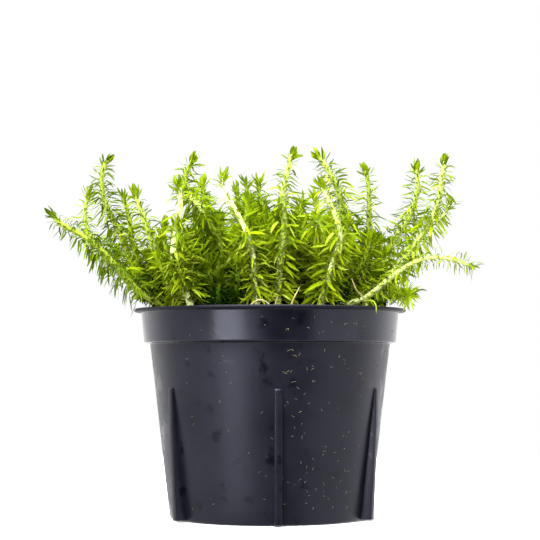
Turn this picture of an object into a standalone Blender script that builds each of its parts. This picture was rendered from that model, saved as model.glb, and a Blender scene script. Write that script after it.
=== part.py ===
"""Potted stream bogmoss: a dark nursery pot, its peat plug and a clump of leafy water-plant shoots.

Metres, +Z up. The origin is the centre of the pot's base, and the front faces -Y.
Sizes below are written in millimetres and scaled by MM.
"""

import math
import random

import bmesh
import bpy
import numpy as np
from mathutils import Vector
from mathutils.bvhtree import BVHTree
from mathutils.geometry import interpolate_bezier

MM = 0.001
GAP = 0.3  # between pieces that touch

# Pot
POT_HEIGHT = 80.0
LIP_RADIUS = 52.5
LIP_THICKNESS = 1.3
COLLAR_TOP_RADIUS = 49.7
COLLAR_LOW_RADIUS = 48.65
COLLAR_DEPTH = 13.0  # from the top of the lip to the step
STEP_HEIGHT = POT_HEIGHT - COLLAR_DEPTH
STEP_FALL = 0.3  # of the step towards the wall
BODY_TOP_RADIUS = 46.3
BODY_TAPER = 0.117  # radius lost for each unit of height
WALL = 1.1
LEDGE_HEIGHT = STEP_HEIGHT + WALL  # inside, above the step
FLOOR = 1.4
FOOT_ROUND = 1.2
POT_SIDES = 40

RIBS = 6
RIB_PHASE = math.radians(4.0)  # from the front, towards +X
RIB_WIDTH = 2.8
RIB_OUTLINE = ((42.6, 0.6), (44.5, 34.0), (44.9, 49.2), (44.5, 50.0))  # outer side, upwards: radius, height

HOLES = 8
HOLE_RADIUS = 3.2
HOLE_CIRCLE = 27.0

# Peat plug
SOIL_EDGE_HEIGHT = 76.5
SOIL_DOME = 3.5
SOIL_SIDES = 24
SOIL_RINGS = 3

# Shoots
CORE_RADIUS = 1.1
TIP_RADIUS = 0.5
SEGMENT = 4.8  # length of stem between two whorls of spikes
LEAF_RISE = math.radians(24.0)  # of the spikes above square to the stem
BUD_RISE = math.radians(60.0)
BUD_SHARE = 0.12  # of a shoot that is bud
BUD_REACH = 3.6
TWIST = math.radians(45.0)  # from one whorl to the next
LEAST_SPIKE = 0.5
UNTANGLE_ROUNDS = 14
UNTANGLE_KEEP = 0.8  # of a crossing spike's length, each round
NECK = 3.0  # length of upright stem above the soil
CAP_NEAR = 0.2  # a face this near to a stem's end is its cap

# Routes are drawn as they look from this eye, on the upright plane through the pot's axis.
# A depth then slides each point along its line of sight: minus is nearer the eye.
EYE_DISTANCE = 650.0
EYE_HEIGHT = 58.0

# name, depth at the root, depth at the tip, reach of the leaves, route from root to tip as (x, z)
TRACED = (
    ("left_low", -8, -14, 8.5,
     ((-41, 78), (-46, 84), (-52, 87.5), (-59, 94.5), (-66, 102.5), (-73.5, 108), (-81.5, 112.5), (-87, 118.5))),
    ("left_tall", 16, 14, 7.0,
     ((-40, 78), (-48, 88), (-53.5, 98), (-58, 109), (-62.5, 117.5), (-65, 124.5), (-65.5, 131), (-64.5, 136),
      (-61, 140.5))),
    ("left_pale", 24, 24, 6.0,
     ((-35, 78), (-48, 89), (-58, 97), (-66, 103.5), (-70.5, 110), (-72, 116), (-71.5, 121), (-70, 127.5))),
    ("left_mid", 6, 8, 6.0,
     ((-38, 78), (-45, 88), (-50.5, 98), (-54, 108), (-54.5, 114), (-56, 120), (-57.5, 126.5))),
    ("left_inner", -12, -12, 6.5,
     ((-35, 78), (-38, 87), (-40.5, 94), (-43.5, 102), (-47, 109), (-49.5, 116.5), (-52, 123), (-53.5, 128))),
    ("left_bare", -1, 2, 6.0,
     ((-41.5, 78), (-45.5, 86), (-45.5, 95), (-44, 104), (-41.5, 111), (-41, 115.5))),
    ("left_front", -30, -27, 7.0,
     ((-31, 79), (-34.5, 91), (-37, 98), (-37.5, 104), (-36.5, 111), (-35, 118), (-35, 124), (-36.5, 131.5))),
    ("middle_left_tall", -12, -16, 6.5,
     ((-14, 80), (-16, 93), (-19, 105), (-23, 112.5), (-27.5, 119), (-31.5, 124.5), (-33.5, 129), (-32.5, 133.5),
      (-30.5, 137), (-29, 141.5))),
    ("middle_left_back", 14, 16, 6.0,
     ((-20, 80), (-21.5, 95), (-23, 110), (-25, 120), (-26, 126), (-26, 132))),
    ("middle_bright", -34, -36, 6.0,
     ((-5, 80), (-6, 90), (-6.5, 100), (-8, 106.5), (-10.5, 113), (-13.5, 119), (-16.5, 124), (-18.5, 128.5),
      (-18, 134))),
    ("middle_back", 18, 20, 6.0,
     ((-6, 80), (-7.5, 95), (-10, 108), (-12, 119), (-13.5, 129.5))),
    ("middle_upright", 0, 0, 6.5,
     ((2.5, 80), (2, 95), (1, 106), (0, 112), (-1, 117.5), (-3.5, 122), (-4.5, 127), (-4.5, 132.5))),
    ("middle_tallest", -30, -26, 7.0,
     ((3, 80), (3.5, 92), (4.5, 102.5), (5.5, 112), (5, 119), (5, 125), (6.5, 132), (8, 138.5), (10, 143.5))),
    ("right_nodding", 2, 0, 7.5,
     ((30, 79), (31, 90), (30.5, 101), (30, 111), (28, 119.5), (26.5, 127), (24, 132), (20.5, 137.5), (17, 142))),
    ("right_pale", -32, -36, 6.5,
     ((20, 79.5), (22, 90), (24.5, 98.5), (27, 106), (27, 111.5), (25, 117.5), (22.5, 123), (20.5, 127.5),
      (19, 132))),
    ("right_yellow", -18, -18, 6.0,
     ((14, 80), (17, 92), (18.5, 104), (18.5, 112), (18, 119), (17, 126.5))),
    ("right_slim", 12, 10, 6.5,
     ((34, 78.5), (36.5, 90), (37.5, 103), (38.5, 115), (38.5, 124), (38, 130.5), (35.5, 137.5))),
    ("right_tall", 20, 16, 7.5,
     ((33, 79), (37, 89), (43, 99), (49, 108), (54, 115.5), (56.5, 122), (57.5, 129), (57, 138.5))),
    ("right_outer", -6, -10, 7.5,
     ((37, 78), (42.5, 88), (50, 97), (57, 106), (62.5, 114), (65.5, 122), (67, 131), (68.5, 141))),
    ("right_arching", -22, -30, 4.5,
     ((31, 80), (37, 84.5), (44, 90), (50.5, 95), (56.5, 98.5), (63, 100), (69.5, 99.5), (76, 97.5), (80.5, 95.5))),
    ("right_low", -16, -22, 6.5,
     ((39, 78), (43.5, 83.5), (48, 86), (53, 87), (57.5, 86.5))),
    ("back_low_left", 34, 70, 8.0,
     ((-10, 79), (-13, 88), (-17, 95), (-20.5, 100), (-22, 104))),
    ("back_arching", 34, 78, 5.5,
     ((16, 79), (20, 90), (24, 97), (28, 99), (30, 97))),
    ("back_left_tall", 20, 46, 6.5,
     ((-24, 79), (-25, 92), (-27, 104), (-28, 112), (-28.5, 118.5))),
    ("back_right_tall", 26, 46, 6.5,
     ((22, 79), (22.5, 92), (23.5, 104), (24, 112), (24.5, 119.5))),
    ("back_middle_tall", 40, 56, 6.5,
     ((2, 78), (2.5, 90), (3, 102), (2, 110), (2.5, 116.5))),
    ("back_right_outer", 26, 46, 6.5,
     ((36, 78), (39, 90), (42, 100), (43.5, 110))),
    ("back_left_outer", 34, 46, 6.5,
     ((-26, 78), (-34, 90), (-40, 100), (-43, 109))),
)

# Fillers stand on the sites of a sunflower pattern that the traced shoots leave free.
FILL_SITES = 70
FILL_MOST = 24
FILL_TRIES = 60
FILL_SEED = 11
FILL_ROOT_RADIUS = 44.0
FILL_REACH = 6.0
FILL_CLEAR = 6.4  # between a filler's stem and any other
ROOT_CLEAR = 7.6
LIP_CLEAR = 3.5  # of a leaning stem above the lip
CANOPY = 119.0  # tallest filler
CANOPY_FALL = 0.006  # lower for each square millimetre of x
FRONT_FALL = 0.35  # lower for each millimetre nearer than the axis
FILL_LEAST = 92.0  # shortest filler

# Pale straws and runners at soil level: radius, then points in millimetres
STRAWS = (
    ("straw_arch", 0.55, ((-8, -42.5, 77.8), (-6.5, -43.5, 80.5), (-3.5, -44, 82), (-0.5, -43.5, 80.5),
                          (1, -42.5, 77.8))),
    ("straw_leaning", 0.5, ((7, -40.5, 78.2), (8.6, -40.5, 82.5), (11, -40, 87.2))),
    ("straw_short", 0.5, ((1.5, -38.5, 78.6), (2.2, -39.5, 81.5), (3, -41, 84))),
    ("straw_strand", 0.55, ((36, -27.5, 78), (35.2, -28, 82.5), (32, -31, 86), (30, -33, 90.5))),
    ("leaf_over_lip", 0.6, ((33.5, -29.5, 78.2), (35.2, -33.5, 81.6), (37.4, -38, 81.8), (38.6, -40, 80),
                            (38.6, -40.4, 77))),
)

COLLECTION = "Potted stream bogmoss"
GUIDES = "Guides"


def clear_scene():
    for item in list(bpy.data.objects):
        bpy.data.objects.remove(item, do_unlink=True)


def collection(name):
    group = bpy.data.collections.new(name)
    bpy.context.scene.collection.children.link(group)
    return group


def material(name, color, roughness):
    made = bpy.data.materials.new(name)
    made.use_nodes = True
    shader = made.node_tree.nodes["Principled BSDF"]
    shader.inputs["Base Color"].default_value = (*color, 1.0)
    shader.inputs["Roughness"].default_value = roughness
    shader.inputs["Metallic"].default_value = 0.0
    return made


def mesh_object(name, bm, group, mat):
    mesh = bpy.data.meshes.new(name)
    bm.to_mesh(mesh)
    bm.free()
    made = bpy.data.objects.new(name, mesh)
    if mat:
        mesh.materials.append(mat)
    group.objects.link(made)
    return made


def turned(name, profile, sides, group, mat):
    """A profile of (radius, height) pairs, down its outer side, turned about Z."""
    bm = bmesh.new()
    verts = [bm.verts.new((r * MM, 0.0, z * MM)) for r, z in profile]
    for low, high in zip(verts, verts[1:]):
        bm.edges.new((low, high))
    made = mesh_object(name, bm, group, mat)
    screw = made.modifiers.new("Turn", "SCREW")
    screw.angle = math.tau
    screw.steps = sides
    screw.render_steps = sides
    screw.use_merge_vertices = True
    screw.merge_threshold = 0.00001
    return made


def arc(center, radius, start, stop, steps):
    """Points of an arc in the profile's plane, in degrees from +X."""
    angles = [math.radians(start + (stop - start) * i / steps) for i in range(steps + 1)]
    return [(center[0] + radius * math.cos(a), center[1] + radius * math.sin(a)) for a in angles]


def body_radius(z):
    return BODY_TOP_RADIUS - BODY_TAPER * (STEP_HEIGHT - z)


def pot_profile():
    lip_low = POT_HEIGHT - LIP_THICKNESS
    lip_mid = POT_HEIGHT - LIP_THICKNESS / 2
    inside = [
        (0.0, FLOOR),
        (body_radius(FLOOR) - WALL, FLOOR),
        (BODY_TOP_RADIUS - WALL, LEDGE_HEIGHT - STEP_FALL),
        (COLLAR_LOW_RADIUS - WALL, LEDGE_HEIGHT),
        (COLLAR_TOP_RADIUS - WALL, POT_HEIGHT),
    ]
    lip = arc((LIP_RADIUS - LIP_THICKNESS / 2, lip_mid), LIP_THICKNESS / 2, 90, -90, 2)
    collar = [
        (COLLAR_TOP_RADIUS, lip_low),
        (COLLAR_LOW_RADIUS, STEP_HEIGHT),
        (BODY_TOP_RADIUS, STEP_HEIGHT - STEP_FALL),
    ]
    foot_radius = body_radius(0.0)
    foot = arc((foot_radius - FOOT_ROUND, FOOT_ROUND), FOOT_ROUND, -7, -90, 1)
    return inside + lip + collar + foot + [(0.0, 0.0)]


def flat_outline(name, points, thickness, group):
    """A filled outline in the curve's own XY plane, made a closed mesh of the given thickness."""
    curve = bpy.data.curves.new(name, "CURVE")
    curve.dimensions = "2D"
    curve.fill_mode = "BOTH"
    curve.extrude = thickness / 2 * MM
    spline = curve.splines.new("POLY")
    spline.points.add(len(points) - 1)
    for place, (x, y) in zip(spline.points, points):
        place.co = (x * MM, y * MM, 0.0, 1.0)
    spline.use_cyclic_u = True
    return curve_to_mesh(name, curve, group)


def make_rib(index, group):
    """One upright rib: its inner edge lies inside the wall and its outer side stands off more and more."""
    inner = [(body_radius(z) - WALL / 2, z) for _, z in (RIB_OUTLINE[-1], RIB_OUTLINE[0])]
    rib = flat_outline(f"rib_{index}", [*RIB_OUTLINE, *inner], RIB_WIDTH, group)
    rib.rotation_euler = (math.pi / 2, 0.0, -math.pi / 2 + RIB_PHASE + math.tau * index / RIBS)
    return rib


def make_holes(group):
    """Eight drainage holes through the floor, as one cutter."""
    bm = bmesh.new()
    for index in range(HOLES):
        angle = math.tau * (index + 0.5) / HOLES
        made = bmesh.ops.create_cone(
            bm, cap_ends=True, segments=12, radius1=HOLE_RADIUS * MM, radius2=HOLE_RADIUS * MM, depth=6 * MM
        )
        place = Vector((math.cos(angle), math.sin(angle), 0.0)) * HOLE_CIRCLE * MM
        bmesh.ops.translate(bm, verts=made["verts"], vec=place)
    return mesh_object("drainage_holes", bm, group, None)


def boolean(target, cutter, operation):
    cutter.hide_render = True
    cutter.display_type = "WIRE"
    step = target.modifiers.new(cutter.name, "BOOLEAN")
    step.operation = operation
    step.object = cutter
    step.solver = "EXACT"


def make_pot(group, guides, mat):
    pot = turned("pot", pot_profile(), POT_SIDES, group, mat)
    for index in range(RIBS):
        boolean(pot, make_rib(index, guides), "UNION")
    boolean(pot, make_holes(guides), "DIFFERENCE")
    return pot


def soil_radius(z):
    """Outer radius of the peat inside the collar: the inner wall less the gap."""
    rise = (z - STEP_HEIGHT) / COLLAR_DEPTH
    return COLLAR_LOW_RADIUS + (COLLAR_TOP_RADIUS - COLLAR_LOW_RADIUS) * rise - WALL - GAP


def soil_height(x, y):
    edge = soil_radius(SOIL_EDGE_HEIGHT)
    return SOIL_EDGE_HEIGHT + SOIL_DOME * max(0.0, 1.0 - (x * x + y * y) / edge**2)


def make_soil(group, mat):
    edge = soil_radius(SOIL_EDGE_HEIGHT)
    top = [(edge * i / SOIL_RINGS, soil_height(edge * i / SOIL_RINGS, 0.0)) for i in range(SOIL_RINGS + 1)]
    low = FLOOR + GAP
    side = [
        (COLLAR_LOW_RADIUS - WALL - GAP, LEDGE_HEIGHT + GAP),
        (BODY_TOP_RADIUS - WALL - GAP, LEDGE_HEIGHT - STEP_FALL + GAP),
        (body_radius(low) - WALL - GAP, low),
        (0.0, low),
    ]
    return turned("soil", top + side, SOIL_SIDES, group, mat)


def placed(x, z, depth):
    """A point as the eye sees it on the axis plane, slid along its line of sight to its depth."""
    scale = (EYE_DISTANCE + depth) / EYE_DISTANCE
    return Vector((x * scale, depth, EYE_HEIGHT + (z - EYE_HEIGHT) * scale))


def smooth_route(points, spacing):
    """Evenly spaced points on a smooth curve through the given ones."""
    fine = []
    padded = [points[0] * 2 - points[1], *points, points[-1] * 2 - points[-2]]
    for before, start, stop, after in zip(padded, padded[1:], padded[2:], padded[3:]):
        lead = start + (stop - before) / 6
        trail = stop - (after - start) / 6
        fine += interpolate_bezier(start, lead, trail, stop, 13)[:-1]
    fine.append(points[-1])
    length = sum((b - a).length for a, b in zip(fine, fine[1:]))
    count = max(2, round(length / spacing))
    return evenly(fine, [length * i / count for i in range(count + 1)])


def evenly(line, stations):
    """Points of a polyline at the given distances from its start."""
    found = []
    passed = 0.0
    index = 0
    for station in stations:
        while index < len(line) - 2 and passed + (line[index + 1] - line[index]).length < station:
            passed += (line[index + 1] - line[index]).length
            index += 1
        step = line[index + 1] - line[index]
        share = min(1.0, max(0.0, (station - passed) / step.length))
        found.append(line[index] + step * share)
    return found


def rooted(points):
    """The route with an upright neck that starts a little above the soil."""
    root = points[0].copy()
    root.z = soil_height(root.x, root.y) + 2 * GAP
    return [root, root + Vector((0.0, 0.0, NECK)), *points[1:]]


def traced_routes():
    routes = []
    for name, near, far, reach, drawn in TRACED:
        last = len(drawn) - 1
        points = [placed(x, z, near + (far - near) * i / last) for i, (x, z) in enumerate(drawn)]
        routes.append((f"shoot_{name}", reach, rooted(points)))
    return routes


def least_distance(points, others):
    """Least distance from any of the points to any of the others, both as arrays."""
    gaps = points[:, None, :] - others[None, :, :]
    return float(np.sqrt((gaps**2).sum(axis=2)).min())


def as_array(points):
    return np.array([tuple(p) for p in points])


def clear_of_lip(line):
    """Whether a stem passes well above the lip wherever it leans out past the peat."""
    outside = np.hypot(line[:, 0], line[:, 1]) > soil_radius(SOIL_EDGE_HEIGHT) - 2.0
    return bool((line[outside, 2] > POT_HEIGHT + LIP_CLEAR).all())


def filler_route(rng, root_x, root_y):
    """A stem that leans outwards from its root and then turns up."""
    lean = rng.uniform(0.05, 0.45)
    side = rng.uniform(-7.0, 7.0)
    tip_x = root_x * (1 + lean) + rng.uniform(-5.0, 5.0)
    tip_y = root_y * (1 + lean) + side
    ceiling = CANOPY - CANOPY_FALL * tip_x**2 - FRONT_FALL * max(0.0, -tip_y)
    tip_z = max(FILL_LEAST, ceiling - rng.uniform(0.0, 13.0))
    root = Vector((root_x, root_y, 78.0))
    tip = Vector((tip_x, tip_y, tip_z))
    bend = root.lerp(tip, 0.5) + Vector((rng.uniform(-3.0, 3.0), rng.uniform(-3.0, 3.0), -3.0))
    return rooted([root, bend, tip])


def straw_lines():
    return [as_array(smooth_route([Vector(p) for p in drawn], 1.5)) for _, _, drawn in STRAWS]


def filler_routes(taken):
    """Fillers in the gaps between the routes and straws already placed."""
    rng = random.Random(FILL_SEED)
    known = np.concatenate([as_array(smooth_route(points, 1.5)) for _, _, points in taken] + straw_lines())
    roots = as_array([points[0] for _, _, points in taken])
    routes = []
    for site in range(FILL_SITES):
        angle = site * math.pi * (3 - math.sqrt(5))
        radius = FILL_ROOT_RADIUS * math.sqrt((site + 0.5) / FILL_SITES)
        x, y = radius * math.cos(angle), radius * math.sin(angle)
        if np.hypot(roots[:, 0] - x, roots[:, 1] - y).min() < ROOT_CLEAR:
            continue
        for _ in range(FILL_TRIES):
            points = filler_route(rng, x, y)
            line = as_array(smooth_route(points, 1.5))
            if clear_of_lip(line) and least_distance(line, known) > FILL_CLEAR:
                routes.append((f"shoot_filler_{len(routes) + 1:02d}", FILL_REACH, points))
                known = np.concatenate([known, line])
                roots = np.concatenate([roots, line[:1]])
                break
        if len(routes) == FILL_MOST:
            break
    return routes


def curve_to_mesh(name, curve, group, mat=None):
    """A curve's shape as a mesh object, with its caps welded."""
    drawn = bpy.data.objects.new(f"{name}_curve", curve)
    group.objects.link(drawn)
    bpy.context.view_layer.update()
    mesh = bpy.data.meshes.new_from_object(drawn.evaluated_get(bpy.context.evaluated_depsgraph_get()))
    bpy.data.objects.remove(drawn, do_unlink=True)
    bm = bmesh.new()
    bm.from_mesh(mesh)
    bpy.data.meshes.remove(mesh)
    bmesh.ops.remove_doubles(bm, verts=bm.verts, dist=0.00001)
    bmesh.ops.recalc_face_normals(bm, faces=bm.faces)
    return mesh_object(name, bm, group, mat)


def tube(name, points, radii, group, mat, resolution=1, twist=0.0):
    """A round tube along the points, with 4 sides and 2 more for each step of resolution."""
    curve = bpy.data.curves.new(name, "CURVE")
    curve.dimensions = "3D"
    curve.twist_mode = "MINIMUM"
    curve.bevel_depth = MM
    curve.bevel_resolution = resolution
    curve.use_fill_caps = True
    spline = curve.splines.new("POLY")
    spline.points.add(len(points) - 1)
    for index, (point, radius) in enumerate(zip(points, radii)):
        spline.points[index].co = (*(point * MM), 1.0)
        spline.points[index].radius = radius
        spline.points[index].tilt = twist * index
    return curve_to_mesh(name, curve, group, mat)


def free_of_pot(point):
    """Whether a leaf point is clear of the peat, the wall and the lip."""
    radius = math.hypot(point[0], point[1])
    if radius > LIP_RADIUS + 0.8:
        return True
    if radius > soil_radius(SOIL_EDGE_HEIGHT) - 1.6:
        return point[2] > POT_HEIGHT + 1.0
    return point[2] > soil_height(point[0], point[1]) + 0.9


def spike_length(start, direction, reach, own, others):
    """The longest spike, up to reach, that keeps to its own side of the neighbouring stems."""
    length = reach
    shares = np.array([0.3, 0.5, 0.7, 0.85, 1.0])[:, None]
    while length > LEAST_SPIKE:
        samples = start[None, :] + direction[None, :] * length * shares
        to_own = np.sqrt(((samples[:, None, :] - own[None, :, :]) ** 2).sum(axis=2)).min(axis=1)
        to_others = np.sqrt(((samples[:, None, :] - others[None, :, :]) ** 2).sum(axis=2)).min(axis=1)
        margin = 0.6 + 1.7 * (1.0 - shares[:, 0])
        clear_of_others = bool((to_own + margin < to_others).all())
        if clear_of_others and all(free_of_pot(sample) for sample in samples):
            return length
        length *= 0.9
    return LEAST_SPIKE


def untangle(bm, feet):
    """Shortens the spikes that cross another part of their own shoot, until none does."""
    for _ in range(UNTANGLE_ROUNDS):
        tree = BVHTree.FromBMesh(bm)
        bm.faces.ensure_lookup_table()
        crossing = set()
        for first, second in tree.overlap(tree):
            one, other = bm.faces[first], bm.faces[second]
            if not set(one.verts) & set(other.verts):
                crossing |= {vert for vert in (*one.verts, *other.verts) if vert in feet}
        if not crossing:
            return
        for vert in sorted(crossing, key=lambda v: v.index):
            vert.co = feet[vert].lerp(vert.co, UNTANGLE_KEEP)


def make_shoot(name, reach, points, others, group, mat, rng):
    """A stem whose every side face is poked out into a leaf."""
    spine = smooth_route(points, SEGMENT)
    last = len(spine) - 1
    radii = [CORE_RADIUS + (TIP_RADIUS - CORE_RADIUS) * max(0.0, i / last - 0.8) / 0.2 for i in range(last + 1)]
    made = tube(name, spine, radii, group, mat, 0, TWIST)
    bm = bmesh.new()
    bm.from_mesh(made.data)
    bm.normal_update()
    ends = (spine[0] * MM, spine[-1] * MM)
    sides = [f for f in bm.faces if min((f.calc_center_median() - end).length for end in ends) > CAP_NEAR * MM]
    tips = bmesh.ops.poke(bm, faces=sides)["verts"]
    own = as_array(smooth_route(points, 1.0))
    feet = {vert: vert.co.copy() for vert in tips}
    for vert in tips:
        start = np.array(vert.co) / MM
        nearest = int(((own - start) ** 2).sum(axis=1).argmin())
        along = own[min(nearest + 1, len(own) - 1)] - own[max(nearest - 1, 0)]
        along /= np.linalg.norm(along)
        radial = start - own[nearest]
        radial -= along * radial.dot(along)
        radial /= np.linalg.norm(radial)
        share = nearest / (len(own) - 1)
        bud = min(1.0, max(0.0, (share - 1.0 + 2 * BUD_SHARE) / (2 * BUD_SHARE)))
        rise = LEAF_RISE + (BUD_RISE - LEAF_RISE) * bud**1.5
        direction = radial * math.cos(rise) + along * math.sin(rise)
        full = (reach + (BUD_REACH - reach) * bud) * rng.uniform(0.82, 1.0)
        length = spike_length(start, direction, full, own, others)
        vert.co += Vector(direction * length) * MM
    untangle(bm, feet)
    bm.to_mesh(made.data)
    bm.free()
    return made


def make_shoots(group, mat):
    routes = traced_routes()
    routes += filler_routes(routes)
    lines = [as_array(smooth_route(points, 1.0)) for _, _, points in routes]
    rng = random.Random(FILL_SEED)
    for index, (name, reach, points) in enumerate(routes):
        others = np.concatenate([line for i, line in enumerate(lines) if i != index] + straw_lines())
        make_shoot(name, reach, points, others, group, mat, rng)


def make_straws(group, mat):
    for name, radius, drawn in STRAWS:
        points = smooth_route([Vector(p) for p in drawn], 2.0)
        last = len(points) - 1
        radii = [radius * (1.0 - 0.45 * i / last) for i in range(last + 1)]
        tube(name, points, radii, group, mat)


def main():
    clear_scene()
    group = collection(COLLECTION)
    guides = collection(GUIDES)
    plastic = material("dark plastic", (0.045, 0.045, 0.058), 0.35)
    peat = material("peat", (0.03, 0.02, 0.012), 0.95)
    leaf = material("leaf green", (0.24, 0.46, 0.03), 0.45)
    straw = material("dead straw", (0.62, 0.56, 0.36), 0.7)
    make_pot(group, guides, plastic)
    make_soil(group, peat)
    make_shoots(group, leaf)
    make_straws(group, straw)


main()
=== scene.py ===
"""Potted stream bogmoss: leafy shoots, peat and a dark nursery pot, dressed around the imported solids."""

import math
import random
from collections import namedtuple

import bmesh
import bpy
import numpy as np
from mathutils import Matrix, Vector, noise
from mathutils.geometry import interpolate_bezier


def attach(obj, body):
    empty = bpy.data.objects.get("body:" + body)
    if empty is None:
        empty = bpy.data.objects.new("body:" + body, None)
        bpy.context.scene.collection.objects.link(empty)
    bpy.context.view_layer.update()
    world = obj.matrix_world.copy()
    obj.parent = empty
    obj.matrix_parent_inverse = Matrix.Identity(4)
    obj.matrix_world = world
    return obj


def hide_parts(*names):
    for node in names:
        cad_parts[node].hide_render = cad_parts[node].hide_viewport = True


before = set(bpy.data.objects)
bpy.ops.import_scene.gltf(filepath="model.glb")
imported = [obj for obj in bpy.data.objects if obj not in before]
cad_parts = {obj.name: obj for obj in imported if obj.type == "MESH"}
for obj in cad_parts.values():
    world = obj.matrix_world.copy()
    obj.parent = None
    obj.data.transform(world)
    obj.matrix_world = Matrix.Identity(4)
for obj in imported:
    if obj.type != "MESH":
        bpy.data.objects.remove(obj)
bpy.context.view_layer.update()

MM = 0.001
UP = Vector((0.0, 0.0, 1.0))
GOLDEN = math.pi * (3 - math.sqrt(5))

# Camera at the photograph's own eye, in millimetres
EYE_DISTANCE = 650.0
EYE_HEIGHT = 58.0
PITCH = math.radians(3.28)  # upwards
LENS = 111.8
SENSOR = 36.0

# Studio, in metres and radians
FLOOR_RADIUS = 0.45
FLOOR_SIDES = 128
TENT_LIGHT = 0.9
BACK_LIGHT = 0.5  # added behind the plant
BACK_FADE = (0.1, 0.7)  # the direction's Y where it starts and where it is whole
RIGHT_LIGHT = 0.35  # added on the right
RIGHT_FADE = (0.4, 0.9)  # the same of its X
TABLE_LIGHT = 0.9  # from below
TABLE_FADE = (-0.8, -0.5)  # its Z where it is whole and where it ends
OPENING_LIGHT = 0.05
OPENING_AT = 0.25  # to the right of the camera
OPENING_HALF = 0.42
OPENING_BLUR = 0.08
LIGHTS_AIM = Vector((0.0, 0.0, 0.08))

# Softboxes: name, place, width, height, power, and whether the plastic mirrors it
SOFTBOXES = (
    ("left front softbox", (-0.56, -0.78, 0.20), 0.46, 0.80, 6.4, True),
    ("overhead softbox", (0.0, 0.05, 1.0), 0.8, 0.8, 22.0, True),
    ("high front softbox", (-0.18, -0.62, 0.82), 0.5, 0.4, 14.0, True),
    ("polarised front softbox", (0.10, -0.80, 0.22), 0.3, 0.3, 3.8, False),
)

# Pot, in millimetres
POT_HEIGHT = 80.0
LIP_RADIUS = 52.5
LIP_THICKNESS = 1.3
COLLAR_TOP_RADIUS = 49.7
COLLAR_LOW_RADIUS = 48.65
COLLAR_DEPTH = 13.0
STEP_HEIGHT = POT_HEIGHT - COLLAR_DEPTH
STEP_FALL = 0.3
BODY_TOP_RADIUS = 46.3
BODY_TAPER = 0.117
WALL = 1.1
LEDGE_HEIGHT = STEP_HEIGHT + WALL
FLOOR = 1.4  # thickness of the base
FLOOR_ROUND = 1.0
FOOT_ROUND = 1.2
LIP_ROUND = 0.45  # inside the lip
UNDER_ROUND = 0.5  # under the lip
EDGE_ROUND = 0.6  # of the collar's lower edge
TUCK_ROUND = 0.4  # under the collar
WALL_RINGS = range(60, 4, -6)
POT_SIDES = 144
POT_SHARP = math.radians(38.0)
RIBS = 6
RIB_PHASE = math.radians(4.0)
RIB_WIDTH = 2.8
RIB_OUTLINE = ((42.6, 0.6), (44.5, 34.0), (44.9, 49.2), (44.5, 50.0))
RIB_BEVEL = 0.3
HOLES = 8
HOLE_RADIUS = 3.2
HOLE_CIRCLE = 27.0
HOLE_CUT = 6.0
HOLE_SIDES = 32
BODY_GLOSS = 0.34
COLLAR_GLOSS = 0.5
LIP_GLOSS = 0.18

# Materials of the pot, the peat and the shoots
BODY_SLOT, FIBRE_SLOT, COLLAR_SLOT, LIP_SLOT = range(4)
PEAT_SLOT, LITTER_SLOT = range(2)
LEAF_SLOT, STEM_SLOT = range(2)

# Peat fibres stuck to the wall, in millimetres and degrees: across, height, length and lean
FIBRES = (
    (7.2, 63.2, 1.8, 20), (9.0, 61.6, 1.6, -15), (10.6, 61.9, 1.3, 60), (8.2, 64.3, 0.9, -50),
    (5.4, 56.4, 1.6, -35), (6.4, 55.8, 1.2, 25), (8.6, 52.0, 1.7, 15), (10.2, 50.8, 1.2, -40),
    (25.2, 61.2, 1.1, 55), (27.2, 60.6, 1.0, -20), (27.6, 72.6, 1.6, 25), (31.0, 73.4, 1.4, 15),
    (33.6, 54.4, 1.3, 65), (32.6, 55.6, 0.8, -10), (19.8, 62.9, 1.0, 80), (12.6, 47.6, 0.9, 40),
    (11.0, 40.8, 1.3, 30), (8.4, 40.2, 1.1, -30), (-3.0, 40.4, 1.2, 50), (21.6, 45.2, 0.8, -60),
    (6.2, 70.4, 1.4, 35), (13.8, 71.8, 1.0, -25), (22.4, 57.4, 0.8, 10), (-18.2, 44.6, 0.9, 75),
)
FIBRE_RADIUS = 0.1
FIBRE_STEPS = 6
FIBRE_LIFT = 0.04
FIBRE_SLACK = 1.4  # of its length along its curl
FIBRE_CURL = 2.5
FIBRE_SEED = 9
SPECKS = 190
SPECK_RADIUS = 0.07
SPECK_LENGTHS = (0.4, 1.3)
SPECK_SIDE = (0.45, 0.35)  # radians to the right of the front where half of them gather, and their spread
SPECK_SHARES = (0.8, 0.2)  # on the body and on the collar

# Peat, in millimetres
GAP = 0.3  # to the pot
RIM_CLEAR = 1.2  # of the wall
PEAT_FOOT = 0.6
PEAT_SHARP = math.radians(60.0)
PEAT_SEED = 5
SOIL_EDGE_HEIGHT = 76.5
SOIL_DOME = 3.5
SOIL_SINK = 0.5  # of the crumbly surface under the dome
SOIL_ROUGH = 0.7
SOIL_SMOOTH_RIM = 3.0
SOIL_SIDES = 96
SOIL_RINGS = 36
LUMP_SCALE = 0.35
LUMPS = (0.9, 2.2, 5)  # how the lumps fall off, their gap in size, and how many sizes
CRUMBS = 900
CRUMB_RADII = (0.25, 0.85)
CRUMB_ROUGH = (0.78, 1.2)
CRUMB_SQUASH = ((1.0, 0.5, 0.4), (1.0, 1.0, 0.8))
CRUMB_LIFT = 0.15
ROOTLETS = 70
ROOTLET_RADIUS = 0.16
ROOTLET_STEPS = 4
ROOTLET_LENGTHS = (1.0, 2.5)  # of each step
ROOTLET_TURN = 0.5
ROOTLET_RISE = 0.12
ROOTLET_LIFT = 0.35
ROOTLET_CLEAR = 1.0
LITTER = 700  # fallen leaves
LITTER_DEPTH = 2.6
LITTER_PACKED = 1.5  # how much denser it lies low down
LITTER_LIFT = 0.3
LITTER_LENGTHS = (2.5, 5.5)
LITTER_HALF_WIDTH = 0.5
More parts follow.
